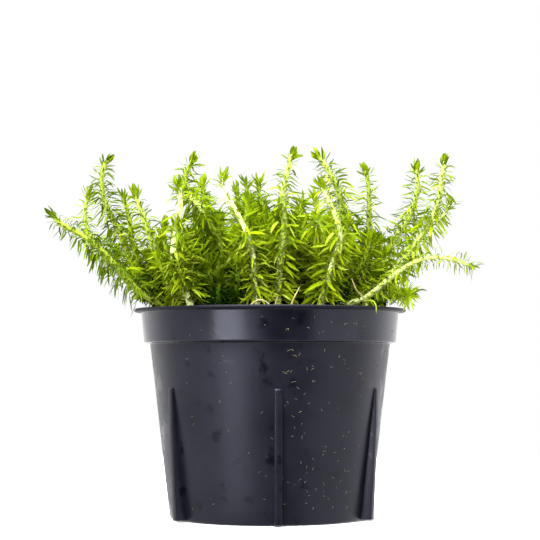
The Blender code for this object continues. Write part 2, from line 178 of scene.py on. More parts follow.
LITTER_WIDTHS = (0.6, 1.2)
LITTER_BEND = 0.12
LITTER_CLEAR = 0.8

# Stems, in millimetres
SHOOT_SEED = 100  # of the first shoot
NECK = 3.0  # upright start of a stem
STEP = 0.5  # between the points of a stem's line
COARSE_STEP = 1.5  # the same while lines are kept apart
STEM_SIDES = 6
STEM_CUT = 1.5  # between the rings of a stem
STEM_RADIUS = 1.2
STEM_TIP_RADIUS = 0.9
STEM_EVEN = 0.35  # share of a stem's length that doesn't taper
TIP_SLIM = 0.6  # of the stem where the bud is open
TIP_OPEN = 0.8  # the stem ends this far from the tip where the bud is open
TIP_CLOSED = 2.8  # and this far where it is closed
STRAW_TAPER = (0.7, 0.35)

# Leaves, in millimetres, degrees and shares
LEAF_SIDES = 3
LEAF_CUTS = np.array([0.0, 0.12, 0.32, 0.58, 0.84, 1.0])
LEAF_WIDTHS = np.array([1.7, 1.25, 1.15, 1.0, 0.6, 0.0])
BUD_WIDTHS = np.array([2.8, 3.9, 4.7, 4.3, 2.6, 0.0])
LEAF_HALF_WIDTH = 0.41
LEAF_PLAIN_LENGTH = 7.4  # of a leaf of the plain width
LEAF_THICKNESS = 0.24  # of the half width
LEAF_FOLD = 0.25  # rise of the margins, of the half width
LEAF_ROOT = 0.6  # of the stem's radius
LEAF_SHARP = math.radians(50.0)
LEAF_OVER_LIP = 0.3
LEAF_OVER_PEAT = 0.2
LEAF_PAST_LIP = 0.6
LEAF_CROWD = 1.1  # on the number of leaves
LAST_LEAF = 0.2  # below the end of the stem's line
FINE_STEP = 0.05  # between the places where leaves are counted
SPARSE_REACH = 30.0  # of stem below the tip with fewer leaves
TIP_SPARSE = 0.5  # share of its leaves that it lacks there
FOOT_REACH = 14.0  # of stem above the peat with more leaves
FOOT_DENSE = 0.7
BARE_REACH = 19.4  # of stem where leaves have been shed
SHORT_REACH = 24.0  # of stem below the tip where leaves get shorter and rise
LEAF_FALL = 36.0  # that the lower leaves point down from the upper ones
LEAF_UNEVEN = (0.68, 1.1)  # on the lengths
WIDTH_SCATTER = 0.2
SPIRAL_SCATTER = 0.25  # radians
TILT_SCATTER = 13.0
CLASP = 2.2  # how strongly a leaf's foot hugs the stem
CLASP_END = 0.38  # of the leaf's length
HOOK = 1.5  # how strongly its end bends
HOOK_RISE = 0.2
HOOK_OUT = 0.15
HOOK_SCATTER = 0.5
DROOP_UNEVEN = (0.2, 1.6)
ROLL_START = 0.08  # of the leaf's length
ROLL_REACH = 0.5
BUD_LENGTH = 4.6  # of stem that is bud
BUD_DENSITY = 4.2
BUD_LEAF = 3.9
BUD_LEAF_OPEN = 1.5  # times as long where the bud is open
BUD_TILT = 18.0
BUD_TILT_CLOSED = 58.0  # more where it is closed
BUD_HOOK = 0.85  # inwards
BUD_STEADY = 0.6  # share of its leaves' roll that a bud lacks
BUD_DIM = 0.25
GLOW_SCATTER = 0.18
DARK_LEAVES = 0.26  # share of the leaves
DARK_GLOW = 0.35
PLAIN_GLOWS = (0.34, 0.66)

# Side branches, in millimetres
FIRST_LEAF = 1.5  # up a shoot, a branch and a side shoot
BRANCH_FIRST_LEAF = 2.0
SIDE_FIRST_LEAF = 1.0
BRANCH_SCALE = 0.8  # on the stem's thickness
SIDE_SCALE = 0.75
CENTRE_RADIUS = 36.0
CENTRE_BRANCHES = (5, (13.0, 30.0))  # how many for a shoot, and their lengths
OUTER_BRANCHES = (3, (8.0, 16.0))
BRANCH_HEIGHTS = (87.0, 108.0)
BRANCH_CEILING = 126.0
BRANCH_CEILING_FALL = 0.008
BRANCH_BACK = 0.35  # radians past straight left and right
BRANCH_ELBOW = 0.45  # of its length
BRANCH_OUT = (0.75, 0.5)  # sideways and along the stem, up to the elbow
BRANCH_UP = (0.3, 0.9)  # sideways and upwards, past it

OLD_AND_SHADED_HEIGHT = 108.0  # below it, in the middle of the clump, leaves and stems are darker: partly older, partly painted shade
OLD_AND_SHADED_RADIUS = 43.0
OLD_AND_SHADED_FADE = 11.0

# Drawn shoots, in millimetres: name, depth at the root and at the tip, route from root to tip as (x, z)
TRACED = (
    ("left_low", -8, -14,
     ((-41, 78), (-46, 84), (-52, 88), (-59, 95.5), (-66, 103.5), (-73.5, 109), (-81.5, 113.5),
      (-86.5, 119))),
    ("left_tall", 16, 14,
     ((-40, 78), (-48, 88), (-53.5, 98), (-58, 109), (-62.5, 117.5), (-65, 124.5), (-65.5, 131), (-64.5, 136),
      (-61, 140.5))),
    ("left_pale", 24, 24,
     ((-35, 78), (-48, 89), (-58, 97), (-66, 103.5), (-70.5, 110), (-72, 116), (-71.5, 121), (-70, 127.5))),
    ("left_mid", 6, 8,
     ((-38, 78), (-45, 88), (-50.5, 98), (-54, 108), (-54.5, 114), (-56, 120), (-57.5, 126.5))),
    ("left_inner", -12, -12,
     ((-35, 78), (-38, 87), (-40.5, 94), (-43.5, 102), (-47, 109), (-49.5, 116.5), (-52, 123), (-53.5, 128))),
    ("left_bare", -1, 2,
     ((-41.5, 78), (-45.5, 86), (-45.5, 95), (-44, 104), (-41.5, 111), (-41, 115.5))),
    ("left_front", -30, -27,
     ((-31, 79), (-34.5, 91), (-37, 98), (-37.5, 104), (-36.5, 111), (-35, 118), (-35, 124), (-36.5, 131.5))),
    ("middle_left_tall", -12, -16,
     ((-14, 80), (-16, 93), (-19, 105), (-23, 112.5), (-27.5, 119), (-31.5, 124.5), (-33.5, 129),
      (-32.5, 133.5), (-30.5, 137), (-29, 141.5))),
    ("middle_left_back", 14, 16,
     ((-20, 80), (-21.5, 95), (-23, 110), (-25, 120), (-26, 126), (-26, 132))),
    ("middle_bright", -34, -36,
     ((-5, 80), (-6, 90), (-6.5, 100), (-8, 106.5), (-10.5, 113), (-13.5, 119), (-16.5, 124), (-18.5, 128.5),
      (-18, 134))),
    ("middle_back", 18, 20,
     ((-6, 80), (-7.5, 95), (-10, 108), (-12, 119), (-13.5, 129.5))),
    ("middle_upright", 0, 0,
     ((2.5, 80), (2, 95), (1, 106), (0, 112), (-1, 117.5), (-3.5, 122), (-4.5, 127), (-4.5, 132.5))),
    ("middle_tallest", -30, -26,
     ((3, 80), (3.5, 92), (4.5, 102.5), (5.5, 112), (5, 119), (5, 125), (6.5, 132), (8, 138.5), (10, 143.5))),
    ("right_nodding", 2, 0,
     ((30, 79), (31, 90), (30.5, 101), (30, 111), (28, 119.5), (26.5, 127), (24, 132), (20.5, 137.5),
      (17, 142))),
    ("right_pale", -32, -36,
     ((20, 79.5), (22, 90), (24.5, 98.5), (27, 106), (27, 111.5), (25, 117.5), (22.5, 123), (20.5, 127.5),
      (19, 132))),
    ("right_yellow", -18, -18,
     ((14, 80), (17, 92), (18.5, 104), (18.5, 112), (18, 119), (17, 126.5))),
    ("right_slim", 12, 10,
     ((34, 78.5), (36.5, 90), (37.5, 103), (38.5, 115), (38.5, 124), (38, 130.5), (35.5, 137.5))),
    ("right_tall", 20, 16,
     ((33, 79), (37, 89), (43, 99), (49, 108), (54, 115.5), (56.5, 122), (57.5, 129), (57, 138.5))),
    ("right_outer", -6, -10,
     ((37, 78), (42.5, 88), (50, 97), (57, 106), (62.5, 114), (65.5, 122), (67, 131), (68.5, 141))),
    ("right_arching", -22, -30,
     ((31, 80), (37, 84.5), (44, 90), (50.5, 95), (56.5, 98.5), (63, 100), (69.5, 99.5), (76, 97.5),
      (80.5, 95.5))),
    ("right_low", -16, -22,
     ((39, 78), (43.5, 83.5), (48, 86), (53, 87), (57.5, 86.5))),
    ("back_low_left", 34, 70,
     ((-10, 79), (-13, 88), (-17, 95), (-20.5, 100), (-22, 104))),
    ("back_arching", 34, 78,
     ((16, 79), (20, 90), (24, 97), (28, 99), (30, 97))),
    ("back_left_tall", 20, 46,
     ((-24, 79), (-25, 92), (-27, 104), (-28, 112), (-28.5, 118.5))),
    ("back_right_tall", 26, 46,
     ((22, 79), (22.5, 92), (23.5, 104), (24, 112), (24.5, 119.5))),
    ("back_middle_tall", 40, 56,
     ((2, 78), (2.5, 90), (3, 102), (2, 110), (2.5, 116.5))),
    ("back_right_outer", 26, 46,
     ((36, 78), (39, 90), (42, 100), (43.5, 110))),
    ("back_left_outer", 34, 46,
     ((-26, 78), (-34, 90), (-40, 100), (-43, 109))),
)

# Shoots that fill the clump, in millimetres
FILL_SEED = 11
FILL_SITES = 70
FILL_MOST = 24
FILL_TRIES = 60
FILL_ROOT_RADIUS = 44.0
FILL_CLEAR = 6.4
FILL_LEANS = (0.05, 0.45)
FILL_ASIDE = 7.0
FILL_SCATTER = 5.0
FILL_BEND = 3.0
FILL_LEAST = 92.0
ROOT_HEIGHT = 78.0
ROOT_CLEAR = 7.6
LIP_CLEAR = 3.5  # above it
LIP_REACH = 2.0  # from its inside
CANOPY = 119.0
CANOPY_FALL = 0.006
CANOPY_UNEVEN = 13.0
FRONT_FALL = 0.35

# How a shoot grows: leaf length near the root and near the tip, rise in degrees near the tip, droop, leaves
# for each millimetre, the stem's paleness, the leaves' glow, how tightly the bud is closed, the share of
# leaves that has been shed, the stem's thickness against the plain one, and how far below the tip the
# shedding begins.
Habit = namedtuple("Habit", "long short rise droop density pale glow closed shed thick bare",
                   defaults=(0.0, 1.0, BUD_LENGTH))
PLAIN_HABIT = Habit(9.8, 6.0, 16.0, 0.5, 4.8, 0.3, 0.5, 0.9)
BRANCH_HABIT = Habit(8.8, 5.6, 20.0, 0.4, 4.6, 0.3, 0.5, 0.8)
HABITS = {
    "left_low": Habit(10.6, 4.8, 8.0, 1.3, 4.4, 0.75, 0.21, 0.9, 0.0, 1.15),
    "left_tall": Habit(8.6, 5.4, 12.0, 0.5, 5.4, 0.8, 0.28, 1.0, 0.0, 1.15),
    "left_pale": Habit(7.2, 5.4, 16.0, 0.4, 4.4, 0.8, 0.66, 0.6),
    "left_mid": Habit(7.8, 5.0, 16.0, 0.4, 5.6, 0.6, 0.46, 0.7),
    "left_inner": Habit(8.4, 5.2, 14.0, 0.4, 5.6, 0.8, 0.50, 0.8, 0.0, 1.2),
    "left_front": Habit(10.4, 5.6, 10.0, 0.6, 5.2, 0.96, 0.68, 0.8, 0.8, 1.1, 8.0),
    "middle_left_tall": Habit(9.8, 5.6, 14.0, 0.6, 6.4, 0.7, 0.50, 1.0, 0.0, 1.1),
    "middle_bright": Habit(10.2, 5.2, 12.0, 0.5, 5.6, 1.0, 0.74, 0.7, 0.75, 0.85),
    "middle_upright": Habit(8.8, 5.4, 16.0, 0.4, 5.2, 0.5, 0.60, 0.5),
    "middle_tallest": Habit(10.4, 5.6, 10.0, 0.5, 5.0, 0.85, 0.60, 1.0, 0.3, 1.1),
    "right_nodding": Habit(9.6, 5.8, 12.0, 0.6, 5.4, 0.85, 0.60, 0.9, 0.0, 1.3),
    "right_pale": Habit(10.2, 5.4, 10.0, 0.6, 5.2, 0.95, 0.66, 0.9, 0.4, 0.9),
    "right_yellow": Habit(9.4, 5.2, 14.0, 0.5, 5.6, 0.7, 0.80, 0.6),
    "right_slim": Habit(8.2, 4.8, 14.0, 0.5, 4.6, 0.75, 0.60, 1.0, 0.0, 0.95),
    "right_tall": Habit(9.4, 5.2, 12.0, 0.6, 5.0, 0.85, 0.60, 1.0, 0.0, 1.15),
    "right_outer": Habit(9.8, 5.0, 10.0, 0.8, 4.8, 0.88, 0.62, 1.0, 0.0, 1.15),
    "right_arching": Habit(7.2, 5.8, 12.0, 0.8, 3.0, 0.94, 0.52, 0.0, 0.0, 0.8),
    "right_low": Habit(7.6, 6.0, 16.0, 0.6, 4.6, 0.5, 0.66, 0.1),
}

# Shoots without side branches
UNBRANCHED = ("left_low", "right_arching", "filler_16", "filler_22")

# Side shoots that the photograph shows: shoot, depth at both ends, route as (x, z), habit
SIDE_SHOOTS = (
    ("right_outer", -10, -12, ((64.8, 112.5), (67.0, 116.2), (69.6, 120.0), (71.2, 123.0)),
     Habit(4.4, 4.2, 24.0, 0.1, 2.8, 0.9, 0.55, 0.1, 0.0, 0.7)),
    ("left_front", -29, -39, ((-36.8, 98.5), (-36.2, 97), (-34.5, 93.3), (-32.6, 88.6)),
     Habit(8.6, 7.8, -5.0, 0.9, 5.0, 0.5, 0.6, 0.1)),
    ("middle_upright", 4, 10, ((-4.6, 116.7), (-7.0, 122.5), (-8.9, 126.4), (-9.3, 130.5)),
     Habit(6.4, 5.2, 14.0, 0.4, 4.6, 0.5, 0.6, 0.4)),
    ("middle_tallest", -20, 4, ((7.0, 107), (10.1, 114), (11.6, 118.2), (12.8, 123)),
     Habit(7.2, 6.2, 14.0, 0.5, 4.6, 0.4, 0.38, 0.4)),
    ("right_low", -19, -33, ((47.0, 86.0), (50.5, 86.5), (53.2, 85.6), (54.4, 84.6)),
     Habit(6.6, 6.6, 14.0, 0.5, 4.6, 0.5, 0.68, 0.0)),
    ("right_yellow", -20, -32, ((18.4, 114.0), (18.4, 115.0), (18.0, 113.0), (17.6, 109.5)),
     Habit(9.8, 10.4, 24.0, 1.5, 5.4, 0.9, 0.80, 0.0, 0.2, 1.1)),
    ("middle_left_tall", -17, -30, ((-31.5, 124.5), (-29.4, 122.6), (-27.0, 119.4), (-24.8, 115.6)),
     Habit(10.4, 11.6, 24.0, 1.4, 5.4, 0.86, 0.36, 0.0, 0.75, 1.35)),
)

# Pale straws at soil level: radius, then points
STRAWS = (
    ("straw_arch", 0.55, ((-8, -42.5, 77.8), (-6.5, -43.5, 80.5), (-3.5, -44, 82), (-0.5, -43.5, 80.5),
                          (1, -42.5, 77.8))),
    ("straw_leaning", 0.5, ((7, -40.5, 78.2), (8.6, -40.5, 82.5), (11, -40, 87.2))),
    ("straw_short", 0.5, ((1.5, -38.5, 78.6), (2.2, -39.5, 81.5), (3, -41, 84))),
    ("straw_strand", 0.55, ((36, -27.5, 78), (35.2, -28, 82.5), (32, -31, 86), (30, -33, 90.5))),
    ("leaf_over_lip", 0.5, ((33.5, -29.5, 78.2), (35.2, -33.5, 81.6), (37.4, -38, 81.8), (38.6, -40, 80),
                            (38.6, -40.4, 77))),
)


# Scene: camera, floor and lights


def add_camera():
    data = bpy.data.cameras.new("camera")
    data.lens = LENS
    data.sensor_width = SENSOR
    data.clip_start = 0.01
    made = bpy.data.objects.new("camera", data)
    made.location = (0.0, -EYE_DISTANCE * MM, EYE_HEIGHT * MM)
    made.rotation_euler = (math.pi / 2 + PITCH, 0.0, 0.0)
    bpy.context.scene.collection.objects.link(made)
    bpy.context.scene.camera = made


def add_floor():
    bm = bmesh.new()
    bmesh.ops.create_circle(bm, cap_ends=True, segments=FLOOR_SIDES, radius=FLOOR_RADIUS)
    floor = mesh_object("floor", bm, [floor_material()])


def add_softbox(name, place, width, height, power, mirrored):
    data = bpy.data.lights.new(name, "AREA")
    data.shape = "RECTANGLE"
    data.size = width
    data.size_y = height
    data.energy = power
    made = bpy.data.objects.new(name, data)
    made.location = place
    made.rotation_euler = (LIGHTS_AIM - Vector(place)).to_track_quat("-Z", "Y").to_euler()
    made.visible_camera = False
    made.visible_glossy = mirrored
    bpy.context.scene.collection.objects.link(made)


def add_world():
    """White to the camera on every side. As light it is a white tent, open and dark around the camera."""
    world = bpy.data.worlds.new("white studio")
    world.use_nodes = True
    bpy.context.scene.world = world
    tree = world.node_tree
    tree.nodes.clear()
    x, y, z = coordinates(tree, "Generated")
    turn = reckoned(tree, "ARCTAN2", x, reckoned(tree, "MULTIPLY", y, -1.0))
    aside = reckoned(tree, "ABSOLUTE", reckoned(tree, "SUBTRACT", turn, OPENING_AT))
    edges = (OPENING_HALF - OPENING_BLUR, OPENING_HALF + OPENING_BLUR)
    tent = ranged(tree, aside, *edges, OPENING_LIGHT, TENT_LIGHT)
    tent = reckoned(tree, "ADD", tent, ranged(tree, y, *BACK_FADE, 0.0, BACK_LIGHT))
    tent = reckoned(tree, "ADD", tent, ranged(tree, x, *RIGHT_FADE, 0.0, RIGHT_LIGHT))
    tent = reckoned(tree, "MAXIMUM", tent, ranged(tree, z, *TABLE_FADE, TABLE_LIGHT, 0.0))
    light = node(tree, "ShaderNodeBackground", {"Color": (1, 1, 1, 1), "Strength": tent})
    seen = node(tree, "ShaderNodeBackground", {"Color": (1, 1, 1, 1), "Strength": 1.0})
    to_camera = node(tree, "ShaderNodeLightPath").outputs["Is Camera Ray"]
    mix = node(tree, "ShaderNodeMixShader", {0: to_camera, 1: light.outputs[0], 2: seen.outputs[0]})
    node(tree, "ShaderNodeOutputWorld", {"Surface": mix.outputs[0]})


# Meshes


def mesh_object(name, bm, materials):
    mesh = bpy.data.meshes.new(name)
    bm.to_mesh(mesh)
    bm.free()
    return finished(name, mesh, materials)


def finished(name, mesh, materials):
    for item in materials:
        mesh.materials.append(item)
    made = bpy.data.objects.new(name, mesh)
    bpy.context.scene.collection.objects.link(made)
    return made


def unit(vectors):
    return vectors / np.maximum(np.linalg.norm(vectors, axis=-1, keepdims=True), 1e-9)


def faded(distance, reach):
    """From one at no distance down to none at the reach."""
    return np.clip(1.0 - distance / reach, 0.0, 1.0)


def strand_template(sides, cuts):
    """A closed pointed strand of unit length: each corner's place around the axis, its cut, and the faces."""
    bm = bmesh.new()
    bmesh.ops.create_cone(bm, cap_ends=True, segments=sides, radius1=1.0, radius2=0.0, depth=1.0)
    bmesh.ops.translate(bm, verts=bm.verts, vec=(0.0, 0.0, 0.5))
    for cut in cuts[1:-1]:
        geom = [*bm.verts, *bm.edges, *bm.faces]
        bmesh.ops.bisect_plane(bm, geom=geom, dist=1e-6, plane_co=(0.0, 0.0, cut), plane_no=UP)
    bmesh.ops.remove_doubles(bm, verts=bm.verts, dist=1e-5)
    bm.verts.index_update()
    flat = np.array([(v.co.x, v.co.y, 0.0) for v in bm.verts])
    height = np.array([v.co.z for v in bm.verts])
    around = unit(flat)[:, :2]
    section = np.abs(height[:, None] - np.asarray(cuts)[None, :]).argmin(axis=1)
    faces = [[v.index for v in f.verts] for f in bm.faces]
    bm.free()
    return around, section, faces


LEAF_TEMPLATE = strand_template(LEAF_SIDES, LEAF_CUTS)


class Growth:
    """Gathers swept strands, with their maps and materials, into one mesh."""

    def __init__(self):
        self.corners = []
        self.faces = []
        self.slots = []
        self.blade = []
        self.tone = []
        self.count = 0

    def add(self, corners, faces, blade, tone, slot):
        """Adds copies of one shape: corners as (copy, corner), its faces and map, and each copy's tone."""
        copies, each = corners.shape[:2]
        self.corners.append(corners.reshape(-1, 3))
        self.blade.append(np.tile(blade, (copies, 1)))
        self.tone.append(np.repeat(tone, each, axis=0))
        for copy in range(copies):
            start = self.count + copy * each
            self.faces += [[start + corner for corner in face] for face in faces]
        self.slots += [slot] * (copies * len(faces))
        self.count += copies * each

    def sweep(self, template, centers, across, upper, widths, thickness, fold, tone, slot):
        """Lays a template along many lines at once. Lines, sides and widths are arrays of (strand, cut)."""
        around, section, faces = template
        wide = around[:, 0] * widths[:, section]
        high = around[:, 1] * thickness[:, section] + np.abs(around[:, 0]) * widths[:, section] * fold
        corners = centers[:, section] + across[:, section] * wide[..., None]
        corners = corners + upper[:, section] * high[..., None]
        blade = np.stack([0.5 + 0.5 * around[:, 0], section / section.max()], axis=1)
        self.add(corners, faces, blade, tone, slot)

    def lay(self, centers, across, upper, widths, tone, slot, keep):
        """Sweeps the blades to be kept out of a set."""
        self.sweep(LEAF_TEMPLATE, centers[keep], across[keep], upper[keep], widths[keep],
                   widths[keep] * LEAF_THICKNESS, LEAF_FOLD, tone[keep], slot)

    def build(self, name, materials, sharp=LEAF_SHARP):
        mesh = bpy.data.meshes.new(name)
        mesh.from_pydata(np.concatenate(self.corners) * MM, [], self.faces)
        mesh.polygons.foreach_set("material_index", self.slots)
        loops = np.empty(len(mesh.loops), dtype=np.int32)
        mesh.loops.foreach_get("vertex_index", loops)
        for key, values in (("blade", self.blade), ("tone", self.tone)):
            layer = mesh.uv_layers.new(name=key)
            layer.data.foreach_set("uv", np.concatenate(values)[loops].ravel())
        mesh.shade_smooth()
        mesh.set_sharp_from_angle(angle=sharp)
        mesh.validate()
        return finished(name, mesh, materials)


# Pot


def arc(center, radius, start, stop, steps):
    angles = [math.radians(start + (stop - start) * i / steps) for i in range(steps + 1)]
    return [(center[0] + radius * math.cos(a), center[1] + radius * math.sin(a)) for a in angles]


def body_radius(z):
    return BODY_TOP_RADIUS - BODY_TAPER * (STEP_HEIGHT - z)


def collar_radius(z):
    return COLLAR_LOW_RADIUS + (COLLAR_TOP_RADIUS - COLLAR_LOW_RADIUS) * (z - STEP_HEIGHT) / COLLAR_DEPTH


def pot_profile():
    """Outline of the wall as (radius, height), from the inner floor over the lip to the base's middle."""
    lip_low = POT_HEIGHT - LIP_THICKNESS
    half = LIP_THICKNESS / 2
    inner = body_radius(FLOOR) - WALL
    inside = [
        (0.0, FLOOR),
        (inner - FLOOR_ROUND, FLOOR),
        (inner - 0.3 * FLOOR_ROUND, FLOOR + 0.3 * FLOOR_ROUND),
        (inner, FLOOR + FLOOR_ROUND),
        (BODY_TOP_RADIUS - WALL, LEDGE_HEIGHT - STEP_FALL),
        (COLLAR_LOW_RADIUS - WALL, LEDGE_HEIGHT),
    ]
    inner_lip = arc((COLLAR_TOP_RADIUS - WALL + LIP_ROUND, POT_HEIGHT - LIP_ROUND), LIP_ROUND, 180, 90, 4)
    lip = arc((LIP_RADIUS - half, POT_HEIGHT - half), half, 90, -90, 8)
    under = arc((COLLAR_TOP_RADIUS + UNDER_ROUND, lip_low - UNDER_ROUND), UNDER_ROUND, 90, 180, 4)
    edge = arc((COLLAR_LOW_RADIUS - EDGE_ROUND, STEP_HEIGHT + EDGE_ROUND), EDGE_ROUND, 4, -90, 5)
    tuck = arc((BODY_TOP_RADIUS + TUCK_ROUND, STEP_HEIGHT - STEP_FALL - TUCK_ROUND), TUCK_ROUND, 90, 180, 3)
    walls = [(body_radius(z), z) for z in WALL_RINGS]
    foot = arc((body_radius(0.0) - FOOT_ROUND, FOOT_ROUND), FOOT_ROUND, -7, -90, 6)
    return inside + inner_lip + lip + under + edge + tuck + walls + foot + [(0.0, 0.0)]


def spun(profile, sides):
    """A closed turned body from a profile that starts and ends on the axis."""
    bm = bmesh.new()
    verts = [bm.verts.new((r * MM, 0.0, z * MM)) for r, z in profile]
    edges = [bm.edges.new(pair) for pair in zip(verts, verts[1:])]
    bmesh.ops.spin(bm, geom=[*verts, *edges], cent=(0, 0, 0), axis=UP, dvec=(0, 0, 0), angle=math.tau,
                   steps=sides, use_merge=True, use_duplicate=False)
    bmesh.ops.remove_doubles(bm, verts=bm.verts, dist=0.000001)
    bmesh.ops.recalc_face_normals(bm, faces=bm.faces)
    return bm


def repeat_round(bm, count, start):
    """Turns a shape to its start angle and repeats it evenly round the pot's axis."""
    bmesh.ops.rotate(bm, verts=bm.verts, cent=(0, 0, 0), matrix=Matrix.Rotation(start, 3, "Z"))
    bmesh.ops.spin(bm, geom=[*bm.verts, *bm.edges, *bm.faces], cent=(0, 0, 0), axis=UP, dvec=(0, 0, 0),
                   angle=math.tau * (count - 1) / count, steps=count - 1, use_duplicate=True)


def ribs():
    """The ribs: a side outline as a face, extruded to its width, bevelled and repeated."""
    bm = bmesh.new()
    inner = [(body_radius(z) - WALL / 2, z) for z in (RIB_OUTLINE[-1][1], RIB_OUTLINE[0][1])]
    corners = [bm.verts.new((r * MM, -RIB_WIDTH / 2 * MM, z * MM)) for r, z in [*RIB_OUTLINE, *inner]]
    grown = bmesh.ops.extrude_face_region(bm, geom=[bm.faces.new(corners)])["geom"]
    moved = [item for item in grown if isinstance(item, bmesh.types.BMVert)]
    bmesh.ops.translate(bm, verts=moved, vec=(0.0, RIB_WIDTH * MM, 0.0))
    bmesh.ops.bevel(bm, geom=bm.edges[:], offset=RIB_BEVEL * MM, segments=2, affect="EDGES", profile=0.5,
                    material=-1)
    bmesh.ops.recalc_face_normals(bm, faces=bm.faces)
    repeat_round(bm, RIBS, -math.pi / 2 + RIB_PHASE)
    return bm


def drainage_holes():
    bm = bmesh.new()
    bmesh.ops.create_cone(bm, cap_ends=True, segments=HOLE_SIDES, radius1=HOLE_RADIUS * MM,
                          radius2=HOLE_RADIUS * MM, depth=HOLE_CUT * MM)
    bmesh.ops.translate(bm, verts=bm.verts, vec=(HOLE_CIRCLE * MM, 0.0, 0.0))
    repeat_round(bm, HOLES, math.pi / HOLES)
    return bm


def cut(target, cutter, operation):
    """Applies a Boolean with the other object, which is then removed."""
    step = target.modifiers.new("cut", "BOOLEAN")
    step.operation = operation
    step.object = cutter
    step.solver = "EXACT"
    bpy.context.view_layer.update()
    graph = bpy.context.evaluated_depsgraph_get()
    mesh = bpy.data.meshes.new_from_object(target.evaluated_get(graph))
    target.modifiers.clear()
    target.data = mesh
    bpy.data.objects.remove(cutter, do_unlink=True)


def outer_radius(z):
    return collar_radius(z) if z > STEP_HEIGHT else body_radius(z)


def on_wall(angle, z, length, lean, curl):
    """Points of a bent fibre that lies on the outside of the wall."""
    turns = lean + curl * np.linspace(-0.5, 0.5, FIBRE_STEPS)
    across = np.cumsum(np.cos(turns)) * length / FIBRE_STEPS
    heights = z + np.cumsum(np.sin(turns)) * length / FIBRE_STEPS
    radii = np.array([outer_radius(height) for height in heights]) + FIBRE_LIFT
    around = angle + (across - across.mean()) / radii
    return np.column_stack([radii * np.sin(around), -radii * np.cos(around), heights])


def add_fibres(pot):
    """Joins peat fibres and specks to the pot, as its second material."""
    rng = np.random.default_rng(FIBRE_SEED)
    fibres = [(math.asin(x / outer_radius(z)), z, length, math.radians(lean), FIBRE_RADIUS)
              for x, z, length, lean in FIBRES]
    for _ in range(SPECKS):
        side = rng.choice((rng.normal(*SPECK_SIDE), rng.uniform(0.0, math.tau)))
        on_body = rng.uniform(4.0, STEP_HEIGHT - 1.5)
        on_collar = rng.uniform(STEP_HEIGHT + 1.5, POT_HEIGHT - 3.0)
        z = rng.choice((on_body, on_collar), p=SPECK_SHARES)
        fibres.append((side, z, rng.uniform(*SPECK_LENGTHS), rng.uniform(0.0, math.pi), SPECK_RADIUS))
    growth = Growth()
    for side, z, length, lean, radius in fibres:
        line = on_wall(side, z, FIBRE_SLACK * length, lean, rng.uniform(-FIBRE_CURL, FIBRE_CURL))
        grow_stem(growth, line, np.full(len(line), radius), (0.5, 0.5), FIBRE_SLOT, 1)
    strands = growth.build("fibres", [])
    bm = bmesh.new()
    bm.from_mesh(pot.data)
    bm.from_mesh(strands.data)
    bm.to_mesh(pot.data)
    bm.free()
    bpy.data.objects.remove(strands, do_unlink=True)


def add_pot():
    pot = mesh_object("nursery_pot", spun(pot_profile(), POT_SIDES), [])
    cut(pot, mesh_object("ribs", ribs(), []), "UNION")
    cut(pot, mesh_object("holes", drainage_holes(), []), "DIFFERENCE")
    pot.data.shade_smooth()
    pot.data.set_sharp_from_angle(angle=POT_SHARP)
    fibre = flecked_material("peat fibre", 0.8, 600.0, (0.07, 0.055, 0.03), (0.19, 0.17, 0.10))
    for material in (plastic_material("slate black body", BODY_GLOSS), fibre,
                     plastic_material("slate black collar", COLLAR_GLOSS),
                     plastic_material("dull black lip", LIP_GLOSS)):
        pot.data.materials.append(material)
    for face in pot.data.polygons:
        height = face.center.z / MM
        band = COLLAR_SLOT if height > STEP_HEIGHT - 0.5 else BODY_SLOT
        face.material_index = LIP_SLOT if height > POT_HEIGHT - LIP_THICKNESS - 0.2 else band
    add_fibres(pot)
    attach(pot, "root")
    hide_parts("pot")


# Peat


SOIL_RADIUS = collar_radius(SOIL_EDGE_HEIGHT) - WALL - GAP


def dome_height(square):
    """Height of the peat's smooth dome, from the square of the distance to the pot's axis."""
    return SOIL_EDGE_HEIGHT + SOIL_DOME * np.maximum(0.0, 1.0 - square / SOIL_RADIUS**2)


def soil_surface(x, y):
    """Height of the crumbly surface, a little under and over the dome."""
    lumps = noise.fractal(Vector((x, y, 3.0)) * LUMP_SCALE, *LUMPS)
    share = min(1.0, (SOIL_RADIUS - math.hypot(x, y)) / SOIL_SMOOTH_RIM)
    return dome_height(x * x + y * y) - SOIL_SINK + SOIL_ROUGH * lumps * max(0.0, share)


def shape_of(bm):
    """Corners in millimetres and faces of a bmesh, which is freed."""
    bm.verts.index_update()
    corners = np.array([tuple(v.co) for v in bm.verts]) / MM
    faces = [[v.index for v in f.verts] for f in bm.faces]
    bm.free()
    return corners, faces


def peat_body():
    low = FLOOR + GAP
    rings = [SOIL_RADIUS * i / SOIL_RINGS for i in range(SOIL_RINGS + 1)]
    top = [(radius, dome_height(radius * radius)) for radius in rings]
    side = [
        (COLLAR_LOW_RADIUS - WALL - GAP, LEDGE_HEIGHT + GAP),
        (BODY_TOP_RADIUS - WALL - GAP, LEDGE_HEIGHT - STEP_FALL + GAP),
        (body_radius(low) - WALL - GAP - PEAT_FOOT, low),
        (0.0, low),
    ]
    bm = spun(top + side, SOIL_SIDES)
    for vert in bm.verts:
        x, y, z = vert.co / MM
        if z > SOIL_EDGE_HEIGHT - 0.1:
            vert.co.z = soil_surface(x, y) * MM
    return shape_of(bm)


def on_peat(rng, count):
    """Random places on the peat."""
    reach = (SOIL_RADIUS - RIM_CLEAR) * np.sqrt(rng.random(count))
    angle = rng.uniform(0.0, math.tau, count)
    flat = np.stack([reach * np.cos(angle), reach * np.sin(angle)], axis=1)
    return np.column_stack([flat, [soil_surface(x, y) for x, y in flat]])


